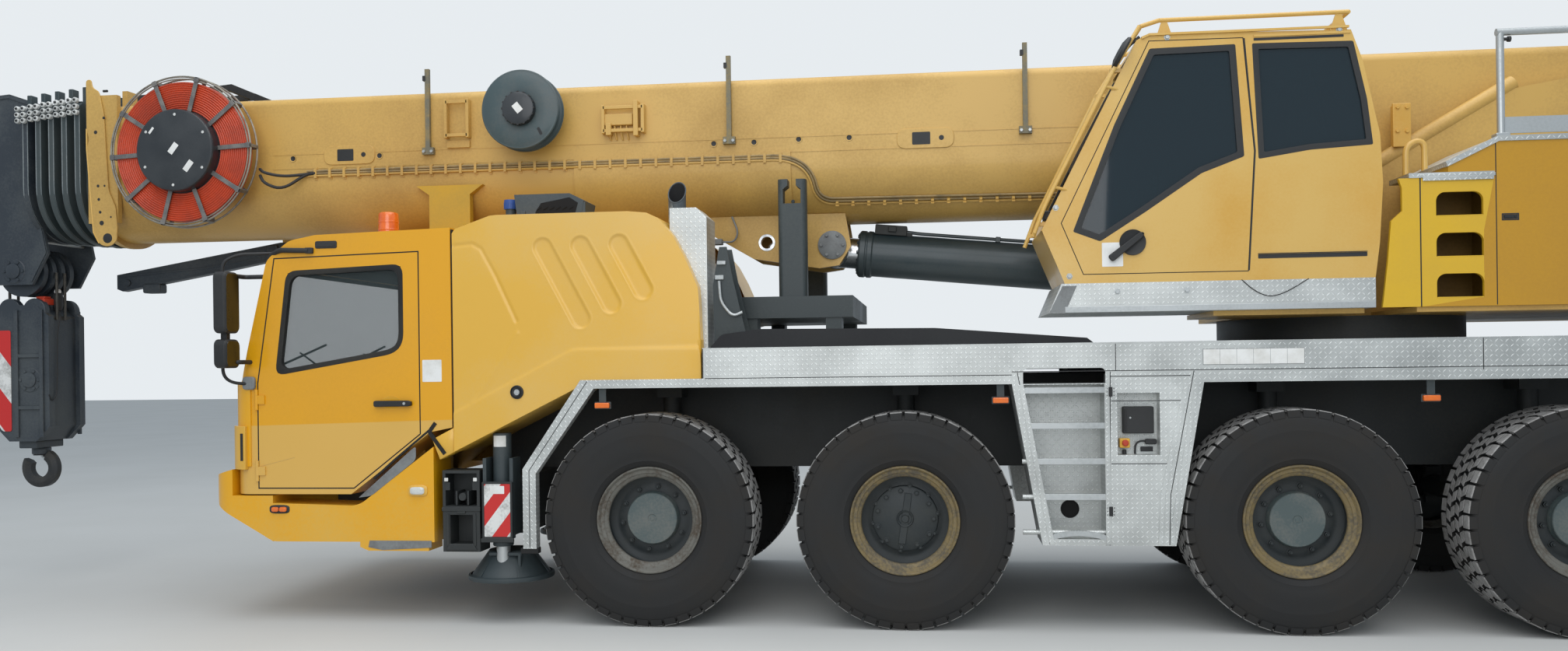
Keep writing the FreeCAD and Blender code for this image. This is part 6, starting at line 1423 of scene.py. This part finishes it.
dress("machinery_houses", house_amber, step_yellow, painted_step_shade, which=house_face)
dress("walkways", plate, galvanised, which=lambda x, y,
    z: ((z > 3.062) | ((z > 2.9) & (x < 4.9))).astype(int))
CORNER = 0.055
quarter = np.linspace(0, math.pi / 2, 9)
openings = []
for low, high in ((2.085, 2.23), (2.335, 2.48), (2.585, 2.73)):
    for x, way in ((4.957, 1), (5.23, -1)):
        curve = np.stack((x + way * CORNER * (1 - np.cos(quarter)), high - CORNER * (1 - np.sin(quarter))),
            -1)
        openings.append(prism(np.concatenate((((x - way * 0.002, high + 0.002),), curve)), -1.3302, -1.3055))
    openings.append(box((4.96, 5.227), (-1.3308, -1.3), (low - 0.004, low + 0.0025), 0.0, 0.0008))
piece("step_corners", "superstructure", joined(*openings), step_yellow)
piece("step_tread", "superstructure", joined(
    box((4.866, 5.3), (-1.338, -1.03), (2.8215, 2.842), 0.003, 0.002),
    box((4.88, 5.29), (-1.3395, -1.335), (2.8, 2.824), 0.0, 0.001)), plate, bevel=0.001)
piece("panel_joint", "superstructure", box((4.8625, 4.8695), (-1.3306, -1.315), (2.035, 2.82)), black_trim_and_shade)
pair("house_joints", "superstructure", joined(box((5.301, 5.307), (-1.3304, -1.32), (2.035, 3.022)),
    box((6.28, 6.285), (-1.3304, -1.32), (2.035, 3.026))), black_trim_and_shade)
pair("house_latch", "superstructure", joined(seal(
    ((5.338, 2.55), (5.43, 2.55), (5.43, 2.586), (5.338, 2.586)), 0.003, 0.004, -1.3305, 0.003, 0.0015,
    0.004), box((5.342, 5.426), (-1.3312, -1.328), (2.554, 2.582)),
    box((5.35, 5.396), (-1.3345, -1.33), (2.561, 2.577), 0.004, 0.001),
    moved(lathe(((0, -0.003), (0.006, -0.003), (0.007, 0)), 12), 5.412, -1.331, 2.568)), black_trim_and_shade)
pair("roof_edge", "superstructure", strip(
    ((5.02, 2.9), (5.15, 2.963), (5.318, 3.046), (5.322, 3.0475), (7.3, 3.0475)), 0.032, -1.3385, -1.29),
    plate)
piece("bracket_plate", "superstructure", joined(
    box((4.992, 5.109), (-0.584, -0.56), (3.143, 3.437), 0.006, 0.003),
    box((5.006, 5.095), (-0.562, -0.5), (3.15, 3.43), 0.0, 0.003)), booth_enamel, bevel=0.002)
piece("bracket_bolts", "superstructure", copies(corner_bolt,
    [(x, -0.584, z) for x, z in ((5.022, 3.41), (5.082, 3.408), (5.02, 3.25), (5.081, 3.247))]), booth_enamel)
piece("grab_bar", "superstructure", joined(pipe(((4.925, -0.96, 2.83), (4.925, -0.96, 3.07),
    (4.985, -0.96, 3.115), (5.04, -0.96, 3.1), (5.04, -0.96, 2.83)), 0.045, 0.019, 14),
    box((4.905, 5.08), (-1.02, -0.9), (2.822, 2.868), 0.012, 0.004)), booth_enamel)
piece("rail_knob", "superstructure", lathe(
    ((0, 0), (0.01, 0.001), (0.01, 0.03), (0.017, 0.032), (0.018, 0.048), (0, 0.05)), 16, "X",
    (5.362, -1.3, 3.656)), black_trim_and_shade)
pair("rail_sockets", "superstructure", joined(
    *[box((x - 0.04, x + 0.04), (-1.334, -1.262), (3.0605, 3.08), 0.006, 0.003) for x in (5.35, 6.3, 7.25)]),
    galvanised)

# Turntable and counterweight: stacked steel slabs with open joints between them, a blank plate at
# the back and lifting eyes on top; the winch drum between the cheeks is navy.
dress("turntable counterweight", straw)
dress("winch_drum", navy)
WEIGHT = np.array(((7.52, -1.3), (8.0, -1.3), (8.3, -1.0), (8.3, 1.0), (8.0, 1.3), (7.52, 1.3)))
piece("slab_joints", "superstructure",
    joined(*[prism(grown(WEIGHT, 0.0012), z, z + 0.014, "Z") for z in (2.42, 2.6, 2.78, 2.93)]), black_trim_and_shade)
lug = joined(
    prism(eased(((-0.06, 0.0), (0.06, 0.0), (0.045, 0.09), (-0.045, 0.09)), 0.03), -0.014, 0.014, rim=0.003),
    moved(lathe(((0.016, -0.016), (0.028, -0.016), (0.028, 0.016), (0.016, 0.016)), 20, closed=True), 0, 0,
        0.05))
pair("weight_lugs", "superstructure", copies(lug, [(x, -0.9, 3.08) for x in (7.64, 8.0)]), straw)
piece("weight_sign", "superstructure", box((8.3005, 8.302), (-0.3, 0.3), (2.645, 2.745), 0.006, axis="X"),
    sign_white)

# Lift cylinder: dark barrel with a bolted gland, a bright rod and a dark eye; its valve sits on the
# barrel's upper side and feeds a pipe that is clipped along it.
chrome = finish("hard_chrome", (0.7, 0.71, 0.72), (0.52, 0.53, 0.53), 0.16, metal=1.0, speckle=0.2)
cylinder_paint = finish("cylinder_enamel", (0.026, 0.042, 0.048), (0.05, 0.062, 0.064), 0.36, coat=0.15,
    patches=2.5, slot="dark_paint")
dress("lift_barrel", cylinder_paint)
dress("lift_rod", chrome, cylinder_paint, which=lambda x, y, z: (x < 1.252).astype(int))


BARREL_FOOT, BARREL_RISE = (4.65, 0, 2.24), (0.34, 3.5)


def on_barrel(shape):
    """From the barrel's own frame, x along its axis from the foot and -z upwards, to its place."""
    return moved(spun(shape, "Y", math.pi + math.atan2(*BARREL_RISE)), *BARREL_FOOT)


bolt_ring = joined(*[spun(moved(spun(corner_bolt, "Z", math.pi / 2), 3.334, 0, 0.143), "X", k * math.pi / 6)
    for k in range(12)])
piece("gland", "lift_barrel", on_barrel(lathe(((0.116, 3.22), (0.167, 3.222), (0.176, 3.232), (0.177, 3.262),
    (0.171, 3.268), (0.171, 3.276), (0.177, 3.282), (0.177, 3.318), (0.168, 3.33), (0.122, 3.333),
    (0.118, 3.326)), 64, "X", closed=True)), cylinder_paint)
piece("gland_bolts", "lift_barrel", on_barrel(bolt_ring), cylinder_paint)
piece("cylinder_valve", "lift_barrel", on_barrel(joined(
    box((2.98, 3.22), (-0.085, 0.085), (-0.226, -0.15), 0.01, 0.004),
    box((2.94, 3.18), (-0.06, 0.06), (-0.18, -0.14)),
    box((3.06, 3.12), (-0.105, -0.08), (-0.215, -0.175), 0.006, 0.003))), chassis_black, bevel=0.002)
piece("cylinder_pipe", "lift_barrel", on_barrel(joined(pipe(
    ((2.99, -0.045, -0.185), (2.88, -0.045, -0.178), (0.52, -0.045, -0.178), (0.42, -0.06, -0.15)), 0.05,
    0.013),
    *[box((x - 0.018, x + 0.018), (-0.07, -0.02), (-0.196, -0.155), 0.005, 0.002) for x in (0.9, 1.6, 2.3)])),
    cylinder_paint)
barrel_ring = lathe(((0.16, -0.012), (0.1675, -0.008), (0.1675, 0.008), (0.16, 0.012)), 64, "X", closed=True)
piece("barrel_rings", "lift_barrel", on_barrel(joined(*[moved(barrel_ring, at) for at in (0.16, 1.75)])),
    cylinder_paint)

# Deck stands: weathered blue-grey steel, a hose cover of rubber behind them, latches in the forks
# of the posts.
stand_paint = finish("stand_enamel", (0.03, 0.04, 0.042), (0.062, 0.072, 0.07), 0.46, patches=2.0,
    speckle=0.5, slot="dark_paint")
cover_rubber = finish("hose_cover", (0.0045, 0.005, 0.0065), (0.012, 0.012, 0.014), 0.6)
dress("deck_stands", stand_paint, cover_rubber, which=lambda x, y, z: ((y < -1.19) & (z < 2.06)).astype(int))
pair("fork_latch", "carrier", joined(box((0.85, 0.96), (-0.6, -0.44), (2.85, 2.868), 0.004, 0.003),
    moved(lathe(((0, -0.01), (0.012, -0.01), (0.014, 0.0)), 14), 0.905, -0.605, 2.89)), stand_paint)
pair("post_edges", "carrier",
    joined(*[strip(((x, 2.205), (x, 2.84)), 0.01, -0.6125, -0.6085) for x in (0.812, 0.998)]), stand_paint)
piece("rack_fittings", "carrier", joined(box((0.44, 0.5), (-1.196, -1.18), (2.3, 2.33), 0.006, 0.003),
    box((0.455, 0.515), (-1.196, -1.18), (2.4, 2.425), 0.006, 0.003),
    pipe(((0.47, -1.195, 2.29), (0.48, -1.205, 2.15), (0.56, -1.205, 2.05), (0.625, -1.195, 2.08)), 0.05,
        0.01)), galvanised)
# Boom head: bolted caps on its two cross pins, rope guards below the lower sheaves and rims on its
# cheek plates.
head_paint = finish("head_enamel", (0.026, 0.034, 0.044), (0.06, 0.07, 0.076), 0.42, patches=2.5, speckle=0.5,
    slot="dark_paint")
dress("boom_head", head_paint)
UPPER_PIN, LOWER_PIN = (-5.72, 3.74), (-5.48, 2.56)
cap = joined(
    lathe(((0, -0.02), (0.05, -0.02), (0.06, -0.016), (0.062, -0.006), (0.095, -0.005), (0.1, 0.0)), 40),
    *[spun(moved(corner_bolt, 0.079, -0.004, 0), "Y", k * math.pi / 3) for k in range(6)])
pair("head_pin_caps", "boom_head", copies(cap, [(x, -0.2712, z) for x, z in (UPPER_PIN, LOWER_PIN)]),
    head_paint)
pair("head_rim", "boom_head", joined(strip(((-5.245, 3.88), (-5.5, 3.968), (-5.88, 3.94), (-5.975, 3.795),
    (-5.938, 3.3), (-5.742, 2.71), (-5.632, 2.475)), 0.022, -0.279, -0.269),
    strip(((-5.33, 2.475), (-5.2, 2.705), (-5.25, 2.95)), 0.022, -0.279, -0.269)), head_paint)
piece("rope_guards", "boom_head", joined(*[tube(((x, -0.262, z), (x, 0.0, z), (x, 0.262, z)), 0.014) for x,
    z in ((-5.7, 2.79), (-5.275, 2.8), (-5.94, 3.64), (-5.6, 3.93))]), galvanised)
rope_wire = finish("wire_rope", (0.06, 0.058, 0.052), (0.12, 0.11, 0.095), 0.55, metal=0.5, patches=40,
    slot="cast_steel")
GROOVE = 0.196
flank = np.linspace(-0.2, 1.2, 30) * math.pi
ropes = [tube(np.stack(
    (UPPER_PIN[0] + GROOVE * np.cos(flank), np.full(30, y), UPPER_PIN[1] + GROOVE * np.sin(flank)), -1), 0.01,
    8) for y in (-0.0975, 0.0975)]
piece("sheave_ropes", "boom_head", joined(*ropes), rope_wire)

# Hook block: dark cheek plates with a striped board in front, guard bars and straps, a red stop on
# top and a crosshead below. Around its ropes hangs the weight of the hoist's limit switch with its
# thin cord.
board_falling = stripes("falling_board", 0.8, 0.24, 0.3)
dress("hook_block", head_paint, rope_wire, which=lambda x, y,
    z: ((z > 2.18) & (np.abs(np.abs(x - LOWER_PIN[0]) - 0.2135) < 0.02)).astype(int))
dress("hook", finish("forged_steel", (0.03, 0.032, 0.034), (0.07, 0.066, 0.06), 0.5, metal=0.4, patches=6))
pair("block_board", "hook_block", prism(
    eased(((-5.716, 1.345), (-5.655, 1.262), (-5.575, 1.262), (-5.575, 2.085), (-5.712, 2.085)), 0.02),
    -0.206, -0.199, rim=0.002), board_falling, bevel=0.001)
pair("block_straps", "hook_block", joined(
    *[box((x - 0.016, x + 0.016), (-0.218, -0.199), (1.215, 2.25), 0.005, 0.003) for x in (-5.52, -5.3)],
    *[box((-5.52, -5.3), (-0.214, -0.199), (low, low + 0.028), 0.004, 0.003) for low in (1.862, 1.44)],
    moved(cap, -5.41, -0.2005, 1.68)), head_paint, bevel=0.002)
ear = prism([(-0.1 * math.cos(a), 0.1 * math.sin(a)) for a in np.linspace(0, math.pi, 15)] + [(0.1, -0.11),
    (-0.1, -0.11)], -0.1985, -0.142, rim=0.006)
pair("block_ears", "hook_block", copies(ear, [(x, 0, 2.245) for x in (-5.59, -5.37)]), head_paint,
    bevel=0.002)
piece("block_stop", "hook_block", joined(box((-5.4, -5.3), (-0.17, -0.06), (2.292, 2.345), 0.01, 0.004),
    box((-5.39, -5.31), (-0.15, -0.08), (2.345, 2.362), 0.008, 0.003)), reel_red, bevel=0.003)
piece("crosshead", "hook_block", joined(box((-5.56, -5.4), (-0.15, 0.15), (1.12, 1.182), 0.012, 0.006),
    lathe(((0.04, 1.062), (0.066, 1.064), (0.07, 1.072), (0.07, 1.112), (0.066, 1.12), (0.04, 1.12)), 40, "Z",
        (-5.48, 0, 0), closed=True)), head_paint)
piece("hook_latch", "hook", joined(prism(eased(
    ((-5.478, 1.045), (-5.452, 1.05), (-5.375, 0.965), (-5.352, 0.905), (-5.372, 0.9), (-5.4, 0.945)), 0.01),
    -0.012, 0.012, rim=0.003),
    moved(lathe(((0, -0.018), (0.01, -0.018), (0.01, 0.018), (0, 0.018)), 14), -5.466, 0, 1.046)), galvanised,
    slot="cast_steel")
WEIGHT_AT = (-5.297, -0.024, 0)
piece("limit_weight", "hook_block", lathe(((0, 2.23), (0.018, 2.232), (0.02, 2.246), (0.03, 2.252),
    (0.034, 2.262), (0.04, 2.295), (0.04, 2.35), (0.034, 2.388), (0.02, 2.393), (0, 2.394)), 28, "Z",
    WEIGHT_AT), black_trim_and_shade)
piece("limit_cap", "hook_block", lathe(
    ((0, 2.394), (0.024, 2.394), (0.026, 2.4), (0.024, 2.418), (0.018, 2.426), (0, 2.427)), 24, "Z",
    WEIGHT_AT), sign_white)
piece("limit_cord", "hook_block", pipe(((-5.29, -0.03, 2.262), (-5.246, -0.06, 2.215), (-5.234, -0.11, 2.06),
    (-5.231, -0.12, 1.76), (-5.229, -0.13, 1.56), (-5.234, -0.18, 1.5), (-5.24, -0.205, 1.56)), 0.05, 0.005,
    8), black_trim_and_shade)

# Jib beam: dark steel along the boom's right underside, with its flanges, a hinge and a hook for
# its pin.
piece("jib_fittings", "boom", joined(strip(((-4.98, 2.545), (-4.2, 2.6), (-3.54, 2.69)), 0.016, 0.284, 0.366),
    strip(((-4.94, 2.43), (-4.1, 2.568), (-3.32, 2.708)), 0.016, 0.284, 0.366),
    box((-4.76, -4.6), (0.278, 0.372), (2.4, 2.48), 0.02, 0.006),
    moved(lathe(((0, -0.05), (0.026, -0.05), (0.028, -0.044), (0.028, 0.05), (0, 0.052)), 24), -4.9, 0.325,
        2.49), box((-3.64, -3.54), (0.276, 0.374), (2.6, 2.78), 0.014, 0.006)), head_paint, bevel=0.002)
dress("jib_beam", head_paint)
# Lamps of the carrier's two ends, guessed: clear round headlamps and blank plates in the bumper,
# red and amber clusters under the deck's tail, all screwed on in black plastic housings.
lens_red = finish("lens_red", (0.5, 0.01, 0.008), (0.42, 0.012, 0.01), 0.12, coat=0.5, slot="glass")
round_lamp = lathe(((0, -0.0135), (0.024, -0.0125), (0.036, -0.0085), (0.042, -0.002), (0.043, 0.002)), 32,
    "X")
pair("headlamp_housing", "carrier",
    box((-3.1165, -3.06), (-1.03, -0.74), (0.845, 0.955), 0.022, 0.005, axis="X"), black_trim_and_shade, bevel=0.003)
pair("headlamp_lens", "carrier", copies(round_lamp, [(-3.1165, y, 0.9) for y in (-0.955, -0.835)]),
    lens_clear)
piece("front_sign", "carrier", box((-3.1145, -3.104), (-0.26, 0.26), (0.868, 0.952), 0.008, 0.001, axis="X"),
    sign_white)
pair("tail_housing", "carrier", box((8.96, 9.04), (-1.28, -0.9), (1.43, 1.56), 0.02, 0.006, axis="X"),
    black_trim_and_shade, bevel=0.003)
pair("tail_lens", "carrier", joined(
    *[box((9.036, 9.047), (y, y + 0.105), (1.445, 1.545), 0.014, 0.003, axis="X") for y in (-1.265, -1.145)]),
    lens_red)
pair("tail_indicator", "carrier",
    box((9.036, 9.047), (-1.025, -0.92), (1.445, 1.545), 0.014, 0.003, axis="X"), lens_amber)
piece("tail_sign", "carrier", box((9.0485, 9.0498), (-0.26, 0.26), (1.64, 1.75), 0.008, axis="X"), sign_white)
